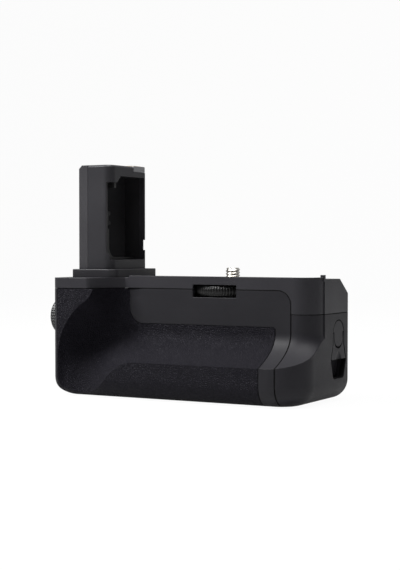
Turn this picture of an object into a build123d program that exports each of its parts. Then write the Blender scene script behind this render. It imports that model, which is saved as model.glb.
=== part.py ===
from build123d import *
from math import hypot, tanh
import os

os.makedirs("parts", exist_ok=True)

# Overall size in millimetres, from the attachment screw's axis and from the base plane
left_reach = 73.7
right_reach = 47.9
bulge_reach = 33.9
panel_reach = 17.5
back_reach = 19.3
deck_height = 52.9

# Shells
wall = 1.5
deck_wall = 1.8
panel_wall = 3.3
band_height = 4.7
seam_height = deck_height - band_height
end_band_height = 14.8
end_seam_height = deck_height - end_band_height
cap_length = 11.4
end_seam_x = right_reach - cap_length
seam_corner = 6.0
seam_gap = 0.15
split_y = -8.0
overrun = 6.0

# Rounded edges of the block
plan_corner = 15.0
base_corner = 9.0
left_base_corner = 9.5
left_front_corner = 2.7
back_corner = 2.5
upper_corner = 9.6
ridge_proud = 0.5

# Rim and chamfer of the deck
rim_height = 0.9
rim_width = 1.6
panel_inset = 30.2
panel_left_x = panel_inset - left_reach
rim_start_x = panel_left_x
lip_size = 1.7
lip_height = 1.9
chamfer_run = 11.0
chamfer_start_y = back_reach - chamfer_run
chamfer_drop = 7.9
chamfer_start_x = 20.0

# Sculpted front: a bulge along the bottom, a shoulder at the left, a hand scoop between
crest_height = 16.4
crest_turn_shift = 12.0
crest_turn_x = panel_left_x + crest_turn_shift
crest_turn_radius = 18.4
rise_length = 14.2
rise_power = 2.2
turn_softness = 1.2
bowl_shift = 3.5
bowl_x = panel_left_x + bowl_shift
bowl_z = 16.0
bowl_margin = 0.9
bowl_radius = seam_height - bowl_z - bowl_margin
bowl_slope = 17.0
floor_depth_bottom = 5.5
floor_margin = 14.2
floor_height = seam_height - floor_margin
shoulder_flat_width = 17.7
shoulder_flat_x = shoulder_flat_width - left_reach
shoulder_valley_shift = 0.5
shoulder_valley_x = panel_left_x - shoulder_valley_shift
valley_set_back = 0.9
flank_spread = 12.0
flank_low_z = 6.0
valley_fade = 9.0
lip_share = 0.75
bulge_depth = bulge_reach - panel_reach
field_step = 2.4
inner_back_y = back_reach - wall

# Flat front panel and rubber
panel_height = 15.6
panel_low_z = seam_height - panel_height
panel_corner = 7.0
rubber_left_margin = 2.5
rubber_left_x = rubber_left_margin - left_reach
rubber_right_margin = 7.0
rubber_right_x = end_seam_x - rubber_right_margin
rubber_corner = 1.5
rubber_thickness = 1.2
rubber_clearance = 0.3
rubber_under_depth = 7.9
rubber_under_y = rubber_under_depth - bulge_reach
rubber_wrap_depth = 3.5
rubber_wrap_y = rubber_wrap_depth - panel_reach

# Battery tray and its chamber
tray_left_margin = 13.2
tray_left_x = tray_left_margin - left_reach
tray_low_z = 2.9
tray_top_margin = 0.8
tray_high_z = end_seam_height - tray_top_margin
tray_front_y = -6.2
tray_back_margin = 4.5
tray_back_y = back_reach - tray_back_margin
tray_floor = 1.5
tray_wall = 1.1
tray_gap = 0.3
chamber_wall = 1.0
chamber_slack = 0.1
tray_end_wall = 2.95

# Attachment screw, a 1/4 inch thread, and its wheel
screw_radius = 3.175
shank_radius = 2.9
screw_proud = 4.5
screw_top = deck_height + screw_proud
wheel_radius = 17.7
wheel_drop = 3.2
wheel_thickness = 4.5
wheel_high = deck_height - wheel_drop
wheel_low = wheel_high - wheel_thickness
wheel_clearance = 0.5
slot_half_width = 10.7
running_gap = 0.05


def smooth_share(value, start, end):
    """Share from 0 at start to 1 at end, level at both ends."""
    share = min(max((value - start) / (end - start), 0), 1)
    return share * share * (3 - 2 * share)


def bulge_proud(x, z):
    """How far the lower bulge stands out; its crest turns down and softens at the left."""
    if x > crest_turn_x:
        rise = z - crest_height
    else:
        rise = hypot(x - crest_turn_x, z - crest_height + crest_turn_radius) - crest_turn_radius
    turn = smooth_share(-x, -crest_turn_x, crest_turn_radius - crest_turn_x)
    turn = turn * (1 - smooth_share(z, crest_height, panel_low_z))
    share = rise / (rise_length * (1 + turn_softness * turn))
    if share < 0:
        return bulge_depth * (1 + lip_share * tanh(-rise_power * share / lip_share))
    return bulge_depth * max(1 - share, 0) ** rise_power


def shoulder_proud(x, z):
    """How far the left shoulder stands out; a round bowl is scooped out of its lower right."""
    share = (bowl_radius - hypot(x - bowl_x, max(z - bowl_z, 0))) / bowl_slope
    if share < 0:
        sunk = lip_share * tanh(2 * share / lip_share)
    else:
        sunk = min(share, 1) * (2 - min(share, 1))
    full = bulge_depth + valley_set_back
    depth = floor_depth_bottom + (full - floor_depth_bottom) * smooth_share(z, 0, floor_height)
    flank_end = shoulder_valley_x + flank_spread * (1 - smooth_share(z, flank_low_z, panel_low_z))
    flank = 1 - smooth_share(x, shoulder_flat_x, flank_end)
    return max(full - depth * sunk, 0) * flank


def front_y(x, z):
    """Depth of the sculpted front at a point of the front view."""
    valley = valley_set_back * smooth_share(-x, -panel_left_x - valley_fade, -panel_left_x)
    proud = (bulge_proud(x, z) ** 3 + shoulder_proud(x, z) ** 3) ** (1 / 3)
    return valley - panel_reach - proud


def block(low, high, mode=Mode.ADD):
    """Box between its lowest and its highest corner."""
    with Locations(low):
        Box(*[b - a for a, b in zip(low, high)], align=(Align.MIN, Align.MIN, Align.MIN), mode=mode)


def rod(start, direction, radius, length, mode=Mode.ADD):
    """Round bar from its start point along a direction."""
    with BuildSketch(Plane(origin=start, z_dir=direction)) as section:
        Circle(radius)
    extrude(section.sketch, amount=length, mode=mode)


def save(part, name):
    """Label a finished piece and write its file."""
    part.label = name
    export_step(part, f"parts/{name}.step")


def front_outline(points, rounding):
    """Face in the front view through x, z points; rounding maps a corner's number to its radius."""
    with BuildLine() as outline:
        Polyline(*points, close=True)
    make_face(outline.edges())
    for index, radius in rounding.items():
        corner = vertices().sort_by_distance((points[index][0], points[index][1], 0))[0]
        fillet(corner, radius)


def scoop_cutter(set_back):
    """Everything in front of the sculpted surface, moved back by set_back."""
    left = -left_reach - overrun
    right = end_seam_x + field_step
    columns = round((right - left) / field_step)
    low = -field_step
    high = seam_height + field_step
    rows = round((high - low) / field_step)
    grid = []
    for i in range(columns + 1):
        x = left + (right - left) * i / columns
        heights = [low + (high - low) * j / rows for j in range(rows + 1)]
        grid.append([(x, front_y(x, z) + set_back, z) for z in heights])
    surface = Face.make_surface_from_array_of_points(grid)
    return extrude(surface, amount=bulge_reach + left_reach, dir=(0, -1, 0))


def block_form(inset):
    """Outer block below the seam, before the front is sculpted, shrunk by inset."""
    with BuildPart() as form:
        low = (-left_reach + inset, -bulge_reach + inset, inset)
        block(low, (right_reach - inset, back_reach - inset, seam_height))
        fillet(
            form.edges().filter_by(Axis.Z).group_by(Axis.Y)[0].sort_by(Axis.X)[-1],
            plan_corner - inset,
        )
        under = form.faces().sort_by(Axis.Z)[0].edges()
        rounded = under.group_by(Axis.Y)[0] + under.group_by(Axis.X)[-1]
        fillet(rounded, base_corner - inset)
        fillet(
            form.edges().filter_by(Axis.Z).group_by(Axis.Y)[0].sort_by(Axis.X)[0],
            left_front_corner - inset,
        )
        with BuildSketch(Plane.XZ):
            front_outline(
                [
                    (-left_reach + inset, inset),
                    (right_reach, inset),
                    (right_reach, seam_height),
                    (-left_reach + inset, seam_height),
                ],
                {0: left_base_corner - inset},
            )
        extrude(amount=left_reach, both=True, mode=Mode.INTERSECT)
        back_edges = form.faces().sort_by(Axis.Y)[-1].edges().sort_by(Axis.Z)[:-1]
        fillet(back_edges, back_corner - inset)
    return form.part


def end_cutter():
    """Front of the right end: the wall above the crest, carried straight and then round the corner."""
    corner_x = right_reach - ridge_proud - upper_corner
    corner_y = upper_corner - panel_reach
    steps = 8
    drop = crest_height - rise_length / 4
    top = crest_height + rise_length
    heights = [top + (drop - top) * k / steps for k in range(steps + 1)]
    wall_points = [(-panel_reach - bulge_proud(0, z), z) for z in heights]
    far = wall_points[-1][0] - overrun
    with BuildPart() as cutter:
        with BuildSketch(Plane.YZ.offset(corner_x)) as section:
            with BuildLine():
                upper = Line((-panel_reach, seam_height + overrun), wall_points[0])
                curve = Spline(*wall_points, tangents=[(0, -1), (-1, -1 / rise_power)])
                Polyline(curve @ 1, (far, wall_points[-1][1]), (far, seam_height + overrun), upper @ 0)
            make_face()
        extrude(amount=end_seam_x - corner_x - field_step)
        revolve(section.sketch, axis=Axis((corner_x, corner_y, 0), (0, 0, 1)), revolution_arc=90)
    return cutter.part


def seam_region(front, back, gap):
    """Space of the two lower covers: below the top cover and left of the tray's cap."""
    edge_x = end_seam_x - gap
    edge_z = seam_height - gap
    with BuildPart() as region:
        with BuildSketch(Plane.XZ.offset(-front)):
            front_outline(
                [
                    (-left_reach - overrun, -overrun),
                    (edge_x, -overrun),
                    (edge_x, edge_z),
                    (-left_reach - overrun, edge_z),
                ],
                {2: seam_corner - gap},
            )
        extrude(amount=-(back - front))
    return region.part


def bevel_seam(gap):
    """Space at the back of the lower covers that belongs to the top cover's bevelled edge."""
    with BuildPart() as space:
        block(
            (
                chamfer_start_x - deck_wall + gap,
                inner_back_y - overrun,
                deck_height - chamfer_drop + gap,
            ),
            (right_reach, back_reach + overrun, deck_height),
        )
    return space.part


def rubber_prism(clear):
    """Front view of the rubber, carried back through the bulge, smaller by clear on its edges."""
    with BuildPart() as prism:
        with BuildSketch(Plane.XZ.offset(-rubber_wrap_y)):
            front_outline(
                [
                    (rubber_left_x + clear, -overrun),
                    (rubber_right_x - clear, -overrun),
                    (rubber_right_x - clear, panel_low_z - clear),
                    (panel_left_x - clear, panel_low_z - clear),
                    (panel_left_x - clear, seam_height + overrun),
                    (rubber_left_x + clear, seam_height + overrun),
                ],
                {2: rubber_corner, 3: panel_corner},
            )
        extrude(amount=bulge_reach + rubber_wrap_y + overrun)
        low = (-left_reach - overrun, rubber_under_y, -overrun)
        block(low, (right_reach, overrun, base_corner), mode=Mode.SUBTRACT)
    return prism.part


# Sculpted forms: the visible front, the rubber's back and the seat under the rubber
outer_block = block_form(0)
outer_form = outer_block - scoop_cutter(0)
rubber_back_form = block_form(rubber_thickness) - scoop_cutter(rubber_thickness)
seat_depth = rubber_thickness + rubber_clearance
seat_form = block_form(seat_depth) - scoop_cutter(seat_depth)

# Positions inside
boss_gap = 0.2
chamber_front_y = tray_front_y - tray_gap - chamber_wall
chamber_back_y = tray_back_y + tray_gap + chamber_wall
chamber_low_z = tray_low_z - tray_gap - chamber_wall
chamber_high_z = tray_high_z + tray_gap + chamber_wall
chamber_left_x = tray_left_x - tray_gap - chamber_wall
chamber_right_x = end_seam_x - tray_gap
end_wall_x = end_seam_x - 2 * wall
tray_right_x = end_seam_x + seam_gap
bay_end_x = tray_right_x - tray_end_wall
cell_length = (bay_end_x - tray_left_x - 2 * tray_floor) / 2
plate_low = chamber_high_z + boss_gap
plate_thickness = 1.4
plate_high = plate_low + plate_thickness
inner_front_y = -panel_reach + panel_wall

# Controls at the left end and on the back
dial_drop = 12.9
dial_z = seam_height - dial_drop
shutter_drop = 15.2
shutter_z = seam_height - shutter_drop
button_drop = 5.5
button_z = seam_height - button_drop
focus_inset = 23.7
button_pitch = 12.0
focus_x = focus_inset - left_reach
custom_x = focus_x + button_pitch

# Screws that hold the rear cover to the front cover, as x and z
left_screw_margin = 6.2
left_screw_x = left_screw_margin - left_reach
low_screw_z = 6.0
screw_drop = 9.0
high_screw_rise = 2.4
right_screw_margin = 3.5
screw_places = [
    (left_screw_x, low_screw_z),
    (left_screw_x, shutter_z - screw_drop),
    (end_wall_x - right_screw_margin, plate_high + high_screw_rise),
    (custom_x + button_pitch, plate_high + high_screw_rise),
]
post_radius = 2.3
post_end_y = -2.0
case_screw_radius = 1.0
case_screw_head = 1.9
case_screw_head_height = 1.2
case_screw_length = 24.0

# Front dial at the left end
dial_radius = 8.0
dial_depth = 9.7
dial_y = dial_depth - bulge_reach
dial_proud = 2.8
dial_outer_x = -left_reach - dial_proud
dial_width = 4.9
dial_inner_x = dial_outer_x + dial_width
dial_room = 0.4
dial_shaft_radius = 1.5
dial_shaft_length = 4.0
rib_depth = 0.25
rib_count = 40

# Main board and its standoffs
board_left_margin = 2.5
board_left = tray_left_x + board_left_margin
board_right_margin = 5.5
board_right = end_wall_x - board_right_margin
board_front_gap = 1.8
board_front = inner_front_y + board_front_gap
board_thickness = 1.6
board_low = 8.0
board_high = chamber_high_z - boss_gap
standoff_radius = 1.5
standoff_inset = 6.0

# Front cover
bulge_room_left = crest_turn_x
bulge_room_wall = 3.9
bulge_room_front = bulge_room_wall - bulge_reach
bulge_room_low = 3.6
bulge_room_high = 13.0
shoulder_room_width = 11.2
shoulder_room_right = shoulder_room_width - left_reach
shoulder_room_front = bulge_room_front
socket_shift = 0.5
socket_y = -panel_reach - socket_shift
socket_radius = 5.6
socket_flange = 6.6
socket_flange_height = 1.4
socket_height = 7.4


def inner_room(near_y, far_y):
    """Cuts the covers' inside between two depths; its lower left edge follows the outer corner."""
    with BuildSketch(Plane.XZ.offset(-far_y)) as room:
        front_outline(
            [
                (-left_reach + wall, wall),
                (end_wall_x, wall),
                (end_wall_x, seam_height + overrun),
                (-left_reach + wall, seam_height + overrun),
            ],
            {0: left_base_corner - wall},
        )
    extrude(room.sketch, amount=far_y - near_y, mode=Mode.SUBTRACT)


with BuildPart() as front_cover:
    add(outer_form)
    add(seam_region(-left_reach, split_y - seam_gap / 2, seam_gap / 2), mode=Mode.INTERSECT)
    add(rubber_prism(0) - seat_form, mode=Mode.SUBTRACT)
    inner_room(inner_front_y, overrun)
    block(
        (bulge_room_left, bulge_room_front, bulge_room_low),
        (end_wall_x, inner_front_y, bulge_room_high),
        mode=Mode.SUBTRACT,
    )
    block(
        (-left_reach + 2 * wall, shoulder_room_front, dial_z + dial_radius + wall),
        (shoulder_room_right, inner_front_y, seam_height),
        mode=Mode.SUBTRACT,
    )
    dial_hole = dial_inner_x + left_reach + wall + dial_room
    rod((-left_reach - wall, dial_y, dial_z), (1, 0, 0), dial_radius + dial_room, dial_hole,
        mode=Mode.SUBTRACT)
    rod((dial_inner_x, dial_y, dial_z), (1, 0, 0), dial_shaft_radius + running_gap,
        dial_shaft_length + dial_room, mode=Mode.SUBTRACT)
    rod((0, 0, wheel_low - wheel_clearance), (0, 0, 1), wheel_radius + wheel_clearance, wheel_high,
        mode=Mode.SUBTRACT)
    block(
        (-slot_half_width, -panel_reach - overrun, wheel_low - wheel_clearance),
        (slot_half_width, inner_front_y, seam_height + overrun),
        mode=Mode.SUBTRACT,
    )
    rod((0, socket_y, 0), (0, 0, 1), socket_flange, socket_flange_height, mode=Mode.SUBTRACT)
    rod((0, socket_y, 0), (0, 0, 1), socket_radius, bulge_room_low, mode=Mode.SUBTRACT)
    for x, z in screw_places:
        rod((x, inner_front_y - wall, z), (0, 1, 0), post_radius,
            post_end_y - boss_gap - inner_front_y + wall)
        rod((x, inner_front_y, z), (0, 1, 0), case_screw_radius, post_end_y - inner_front_y,
            mode=Mode.SUBTRACT)
    for x in (board_left + standoff_inset, board_right - standoff_inset):
        for z in (board_low + standoff_inset, board_high - standoff_inset):
            rod((x, inner_front_y - wall, z), (0, 1, 0), standoff_radius,
                board_front - inner_front_y + wall)
save(front_cover.part, "front_cover")

with BuildPart() as grip_rubber:
    add(outer_form)
    add(rubber_prism(seam_gap), mode=Mode.INTERSECT)
    add(seam_region(-left_reach, 0, seam_gap), mode=Mode.INTERSECT)
    add(rubber_back_form, mode=Mode.SUBTRACT)
save(grip_rubber.part, "grip_rubber")

# Rear dial, shutter and rear buttons, placed on the rear cover
rear_dial_radius = 8.0
rear_dial_depth = 5.7
rear_dial_y = back_reach - rear_dial_depth
rear_dial_drop = 8.6
rear_dial_z = seam_height - rear_dial_drop
rear_dial_left_x = rubber_left_x
rear_dial_width = 4.8
rear_dial_slot_half = 7.6
bracket_gap = 0.8
bracket_x = rear_dial_left_x + rear_dial_width + bracket_gap
bracket_thickness = 1.0
bracket_half = 3.4
shutter_y = 0.9
shutter_radius = 5.0
shutter_proud = 1.9
shutter_outer_x = -left_reach - shutter_proud
shutter_depth = 4.2
shutter_stem_radius = 1.6
shutter_stem_length = 1.9
shutter_edge = 0.5
collar_radius = 6.0
collar_proud = 1.3
collar_outer_x = -left_reach - collar_proud
power_radius = 8.6
power_tab_reach = 1.8
power_tab_width = 3.0
button_radius = 2.6
button_proud = 1.3
button_edge = 0.4
button_outer_y = back_reach + button_proud
button_length = 3.5
button_inner_y = button_outer_y - button_length
focus_collar_radius = 3.3
focus_ring_radius = 5.0
focus_ring_proud = 0.9
focus_ring_back_y = back_reach + focus_ring_proud
focus_tab_start = 3.8
focus_tab_end = 6.5
focus_tab_half = 0.75
focus_tab_proud = 0.5
fit_gap = 0.1

with BuildPart() as rear_cover:
    add(outer_form)
    add(seam_region(split_y + seam_gap / 2, back_reach + overrun, seam_gap / 2), mode=Mode.INTERSECT)
    inner_room(split_y - overrun, inner_back_y)
    block(
        (end_wall_x - overrun, chamber_front_y - chamber_slack, chamber_low_z - chamber_slack),
        (end_seam_x + overrun, chamber_back_y + chamber_slack, chamber_high_z + chamber_slack),
        mode=Mode.SUBTRACT,
    )
    add(bevel_seam(-seam_gap / 2), mode=Mode.SUBTRACT)
    rod((0, 0, wheel_low - wheel_clearance), (0, 0, 1), wheel_radius + wheel_clearance, wheel_high,
        mode=Mode.SUBTRACT)
    for x, z in screw_places:
        rod((x, post_end_y, z), (0, 1, 0), post_radius, inner_back_y - post_end_y)
        rod((x, post_end_y, z), (0, 1, 0), case_screw_radius + fit_gap, back_reach - post_end_y,
            mode=Mode.SUBTRACT)
        rod((x, inner_back_y, z), (0, 1, 0), case_screw_head + fit_gap, overrun, mode=Mode.SUBTRACT)
    block(
        (rear_dial_left_x - fit_gap * 2, inner_back_y - overrun / 2, rear_dial_z - rear_dial_slot_half),
        (
            rear_dial_left_x + rear_dial_width + dial_room,
            back_reach + overrun,
            rear_dial_z + rear_dial_slot_half,
        ),
        mode=Mode.SUBTRACT,
    )
    rod((-left_reach + wall, rear_dial_y, rear_dial_z), (1, 0, 0), dial_shaft_radius + dial_room,
        rear_dial_left_x + left_reach - wall - fit_gap)
    rod((-left_reach + wall / 2, rear_dial_y, rear_dial_z), (1, 0, 0), dial_shaft_radius + running_gap,
        overrun, mode=Mode.SUBTRACT)
    rod((collar_outer_x, shutter_y, shutter_z), (1, 0, 0), collar_radius,
        -collar_outer_x - left_reach + wall)
    rod((collar_outer_x - overrun, shutter_y, shutter_z), (1, 0, 0), shutter_radius + fit_gap,
        2 * overrun, mode=Mode.SUBTRACT)
    rod((focus_x, inner_back_y, button_z), (0, 1, 0), focus_collar_radius,
        focus_ring_back_y - inner_back_y)
    for x in (focus_x, custom_x):
        rod((x, inner_back_y - overrun / 2, button_z), (0, 1, 0), button_radius + running_gap,
            2 * overrun, mode=Mode.SUBTRACT)
save(rear_cover.part, "rear_cover")

# Thumb rubber on the back, glued into the outer face
thumb_left_margin = 10.7
thumb_left_x = thumb_left_margin - left_reach
thumb_width = 20.0
thumb_right_x = thumb_left_x + thumb_width
thumb_low_z = 7.0
thumb_drop = 14.2
thumb_high_z = seam_height - thumb_drop
thumb_corner = 4.0
thumb_thickness = 1.1
thumb_edge = 0.5

with BuildPart() as thumb_rubber:
    with BuildSketch(Plane.XZ.offset(-back_reach)):
        with BuildLine():
            Polyline(
                (thumb_left_x, thumb_low_z),
                (thumb_right_x, thumb_low_z),
                (thumb_right_x, thumb_high_z),
                (thumb_left_x, thumb_high_z),
                close=True,
            )
        make_face()
        fillet(vertices(), thumb_corner)
    extrude(amount=-thumb_thickness)
    fillet(thumb_rubber.faces().sort_by(Axis.Y)[-1].edges(), thumb_edge)
save(thumb_rubber.part, "thumb_rubber")

# Tower that fills the camera's battery room
plinth_left_margin = 2.9
plinth_width = 22.2
plinth_left = plinth_left_margin - left_reach
plinth_right = plinth_left + plinth_width
plinth_front = -22.1
plinth_back_margin = 5.0
plinth_back = back_reach - plinth_back_margin
plinth_height = 3.65
plinth_high = deck_height + plinth_height
plinth_corner = 4.0
plinth_edge = 0.2
tower_left_step = 1.3
tower_right_step = 3.8
tower_front_step = 3.4
tower_back_step = 3.2
tower_left = plinth_left + tower_left_step
tower_right = plinth_right - tower_right_step
tower_front = plinth_front + tower_front_step
tower_back = plinth_back - tower_back_step
tower_height = 50.9
tower_high = deck_height + tower_height
tower_corner = 4.0
tower_cover_width = 4.75
tower_seam_x = tower_left + tower_cover_width
tower_edge = 0.8
cover_edge = 1.6
tower_wall = 1.4
tower_hole_wall = 1.1
tower_hole_width = 10.4
tower_hole_left = tower_left + tower_hole_wall
tower_hole_right = tower_hole_left + tower_hole_width
tower_hole_front = -8.0
tower_hole_back = 4.0
pocket_floor_wall = 1.55
pocket_floor_x = tower_seam_x + pocket_floor_wall
pocket_edge_depth = 2.6
pocket_edge_x = tower_right - pocket_edge_depth
pocket_sill = 4.25
pocket_low = plinth_high + pocket_sill
pocket_drop = 7.9
pocket_high = tower_high - pocket_drop
pocket_step_drop = 4.8
pocket_step_high = tower_high - pocket_step_drop
pocket_step_inset = 5.3
pocket_step_run = 3.4
pocket_step_start = tower_front + pocket_step_inset
pocket_step_end = pocket_step_start + pocket_step_run
pocket_bevel = 3.6
pocket_bevel_z = pocket_low + pocket_bevel
notch_rise = 4.4
notch_height = 4.7
notch_low = pocket_low + notch_rise
notch_high = notch_low + notch_height
notch_depth = 0.9
contact_depth = 9.9
contact_front = tower_back - contact_depth
contact_sunk = 2.4
contact_low = tower_high - contact_sunk
contact_width = 9.6
contact_left = tower_right - contact_width
contact_proud = 0.3
contact_edge = 0.5
contact_high = tower_high + contact_proud

# Top cover: deck, rim, left shoulder band and the upper part of the right end
band_corner = 2.7
bush_radius = 4.8
bush_height = 2.2
bush_low_z = deck_height - bush_height
wheel_room_high = wheel_high + wheel_clearance


def upper_outline(inset):
    """Plan of the upper body: flat front, round corner, and a ridge where the right face starts."""
    corner_x = right_reach - ridge_proud - upper_corner
    corner_y = upper_corner - panel_reach
    with BuildLine() as outline:
        front = Line((-left_reach + inset, -panel_reach + inset), (corner_x, -panel_reach + inset))
        turn = CenterArc((corner_x, corner_y), upper_corner - inset, -90, 90)
        Polyline(
            turn @ 1,
            (right_reach - inset, corner_y),
            (right_reach - inset, back_reach - inset),
            (-left_reach + inset, back_reach - inset),
            front @ 0,
        )
    make_face(outline.edges())
    fillet(vertices().group_by(Axis.Y)[-1], back_corner - inset / 2)


def shoulder_outline(inset):
    """Plan of the left shoulder: flat front that turns back to the panel in an S curve."""
    front_line = -bulge_reach + inset
    valley_line = valley_set_back - panel_reach + inset
    third = (shoulder_valley_x - shoulder_flat_x) / 3
    flat_end = shoulder_flat_x - inset
    with BuildLine() as outline:
        Line((-left_reach + inset, front_line), (flat_end, front_line))
        flank = Bezier(
            (flat_end, front_line),
            (flat_end + third, front_line),
            (flat_end + 2 * third, valley_line),
            (flat_end + 3 * third, valley_line),
        )
        Polyline(
            flank @ 1,
            (flat_end + 3 * third, split_y),
            (-left_reach + inset, split_y),
            (-left_reach + inset, front_line),
        )
    make_face(outline.edges())
    fillet(vertices().group_by(Axis.Y)[0].sort_by(Axis.X)[0], band_corner - inset)


def chamfer_prism(shift):
    """Wedge that bevels the rear top edge of the deck, shifted inwards."""
    with BuildPart() as wedge:
        with BuildSketch(Plane.YZ.offset(chamfer_start_x - shift)):
            with BuildLine():
                Polyline(
                    (chamfer_start_y - shift, deck_height),
                    (back_reach, deck_height - chamfer_drop - shift),
                    (back_reach + overrun, deck_height - chamfer_drop - shift),
                    (back_reach + overrun, deck_height + overrun),
                    (chamfer_start_y - shift, deck_height + overrun),
                    close=True,
                )
            make_face()
        extrude(amount=right_reach + overrun - chamfer_start_x)
    return wedge.part


with BuildPart() as deck_room:
    with BuildSketch(Plane.XY.offset(end_seam_height - overrun)):
        upper_outline(deck_wall)
    extrude(amount=deck_height - deck_wall - end_seam_height + overrun)
    with BuildSketch(Plane.XY.offset(seam_height - overrun)):
        shoulder_outline(deck_wall)
    extrude(amount=deck_height - deck_wall - seam_height + overrun)
    add(chamfer_prism(deck_wall), mode=Mode.SUBTRACT)

with BuildPart() as top_cover:
    with BuildSketch(Plane.XY.offset(end_seam_height + seam_gap / 2)):
        upper_outline(0)
    extrude(amount=deck_height + rim_height - end_seam_height - seam_gap / 2)
    with BuildSketch(Plane.XY.offset(deck_height)):
        upper_outline(rim_width)
    extrude(amount=overrun, mode=Mode.SUBTRACT)
    block(
        (-left_reach - overrun, -panel_reach - overrun, deck_height),
        (rim_start_x, back_reach + overrun, deck_height + overrun),
        mode=Mode.SUBTRACT,
    )
    block(
        (-left_reach - overrun, upper_corner - panel_reach, deck_height),
        (right_reach + overrun, back_reach + overrun, deck_height + overrun),
        mode=Mode.SUBTRACT,
    )
    lip_low = (
        right_reach - lip_size,
        upper_corner - panel_reach - lip_size / 2,
        deck_height - rim_height,
    )
    block(lip_low, (right_reach, lip_low[1] + lip_size, deck_height + lip_height))
    with BuildSketch(Plane.XY.offset(seam_height)):
        shoulder_outline(0)
    extrude(amount=deck_height - seam_height)
    add(chamfer_prism(0), mode=Mode.SUBTRACT)
    add(deck_room.part, mode=Mode.SUBTRACT)
    lower_covers = seam_region(-bulge_reach - overrun, back_reach + overrun, -seam_gap / 2)
    add(lower_covers - bevel_seam(seam_gap / 2), mode=Mode.SUBTRACT)
    rod((0, 0, end_seam_height), (0, 0, 1), wheel_radius + wheel_clearance,
        wheel_room_high - end_seam_height, mode=Mode.SUBTRACT)
    block(
        (-slot_half_width, -panel_reach - overrun, end_seam_height),
        (slot_half_width, -panel_reach + 2 * deck_wall, wheel_room_high),
        mode=Mode.SUBTRACT,
    )
    rod((0, 0, deck_height - overrun), (0, 0, 1), bush_radius + fit_gap / 2, 2 * overrun,
        mode=Mode.SUBTRACT)
    block(
        (tower_hole_left, tower_hole_front, deck_height - overrun),
        (tower_hole_right, tower_hole_back, deck_height + overrun),
        mode=Mode.SUBTRACT,
    )
save(top_cover.part, "top_cover")

with BuildPart() as tower_base:
    block((plinth_left, plinth_front, deck_height), (plinth_right, plinth_back, plinth_high))
    fillet(
        tower_base.edges().filter_by(Axis.Z).group_by(Axis.Y)[0].sort_by(Axis.X)[-1],
        plinth_corner,
    )
    block(
        (tower_hole_left, tower_hole_front, deck_height),
        (tower_hole_right, tower_hole_back, plinth_high),
        mode=Mode.SUBTRACT,
    )
    chamfer(tower_base.faces().sort_by(Axis.Z)[-1].outer_wire().edges(), plinth_edge)
save(tower_base.part, "tower_base")

with BuildPart() as tower_shell:
    block((tower_seam_x + fit_gap / 2, tower_front, plinth_high), (tower_right, tower_back, tower_high))
    fillet(
        tower_shell.edges().filter_by(Axis.Z).group_by(Axis.Y)[0].sort_by(Axis.X)[-1],
        tower_corner,
    )
    front_top = tower_shell.faces().sort_by(Axis.Z)[-1].edges().group_by(Axis.Y)[0]
    chamfer(front_top, tower_edge)
    block(
        (pocket_floor_x, tower_front + tower_wall, pocket_low),
        (tower_right + overrun, tower_back - tower_wall / 2, pocket_high),
        mode=Mode.SUBTRACT,
    )
    with BuildSketch(Plane.YZ.offset(pocket_floor_x)):
        with BuildLine():
            Polyline(
                (pocket_step_start, pocket_high),
                (pocket_step_end, pocket_step_high),
                (tower_back - tower_wall / 2, pocket_step_high),
                (tower_back - tower_wall / 2, pocket_low),
                (pocket_step_start, pocket_low),
                close=True,
            )
        make_face()
    extrude(amount=tower_right + overrun - pocket_floor_x, mode=Mode.SUBTRACT)
    with BuildSketch(Plane.XZ.offset(-tower_front - tower_wall)):
        with BuildLine():
            Polyline(
                (pocket_edge_x, pocket_high),
                (pocket_edge_x, pocket_bevel_z),
                (tower_right + tower_edge / 2, pocket_low - tower_edge),
                (tower_right + overrun, pocket_low - tower_edge),
                (tower_right + overrun, pocket_high),
                close=True,
            )
        make_face()
    extrude(amount=overrun, mode=Mode.SUBTRACT)
    block(
        (tower_right - notch_depth, tower_back - 2 * tower_wall, notch_low),
        (tower_right + overrun, tower_back + overrun, notch_high),
        mode=Mode.SUBTRACT,
    )
    block(
        (contact_left - fit_gap, contact_front - fit_gap, contact_low - fit_gap),
        (tower_right + overrun, tower_back + overrun, tower_high + overrun),
        mode=Mode.SUBTRACT,
    )
save(tower_shell.part, "tower_shell")

flex_inset = 1.75
flex_left_x = tower_left + flex_inset
flex_thickness = 0.3
flex_room = 0.6
flex_front_y = -5.0
flex_back_y = 1.0
flex_low_z = chamber_high_z
flex_high_z = contact_low - fit_gap

with BuildPart() as tower_cover:
    block((tower_left, tower_front, plinth_high), (tower_seam_x - fit_gap / 2, tower_back, tower_high))
    outer_top = tower_cover.faces().sort_by(Axis.Z)[-1].edges().sort_by(Axis.X)[0]
    chamfer(outer_top, cover_edge)
    block(
        (flex_left_x - flex_room, flex_front_y - flex_room, plinth_high),
        (tower_seam_x, flex_back_y + flex_room, flex_high_z),
        mode=Mode.SUBTRACT,
    )
save(tower_cover.part, "tower_cover")

with BuildPart() as tower_flex:
    block((flex_left_x, flex_front_y, flex_low_z),
        (flex_left_x + flex_thickness, flex_back_y, flex_high_z))
save(tower_flex.part, "tower_flex")

frame_front_inset = 6.1
frame_rib_front = tower_front + frame_front_inset
frame_rib = 1.0
frame_reach = 5.20
frame_reach_x = pocket_floor_x + frame_reach
frame_rise = 14.2
frame_high = pocket_low + frame_rise
frame_corner = 5.0
frame_gap = 0.1

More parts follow.
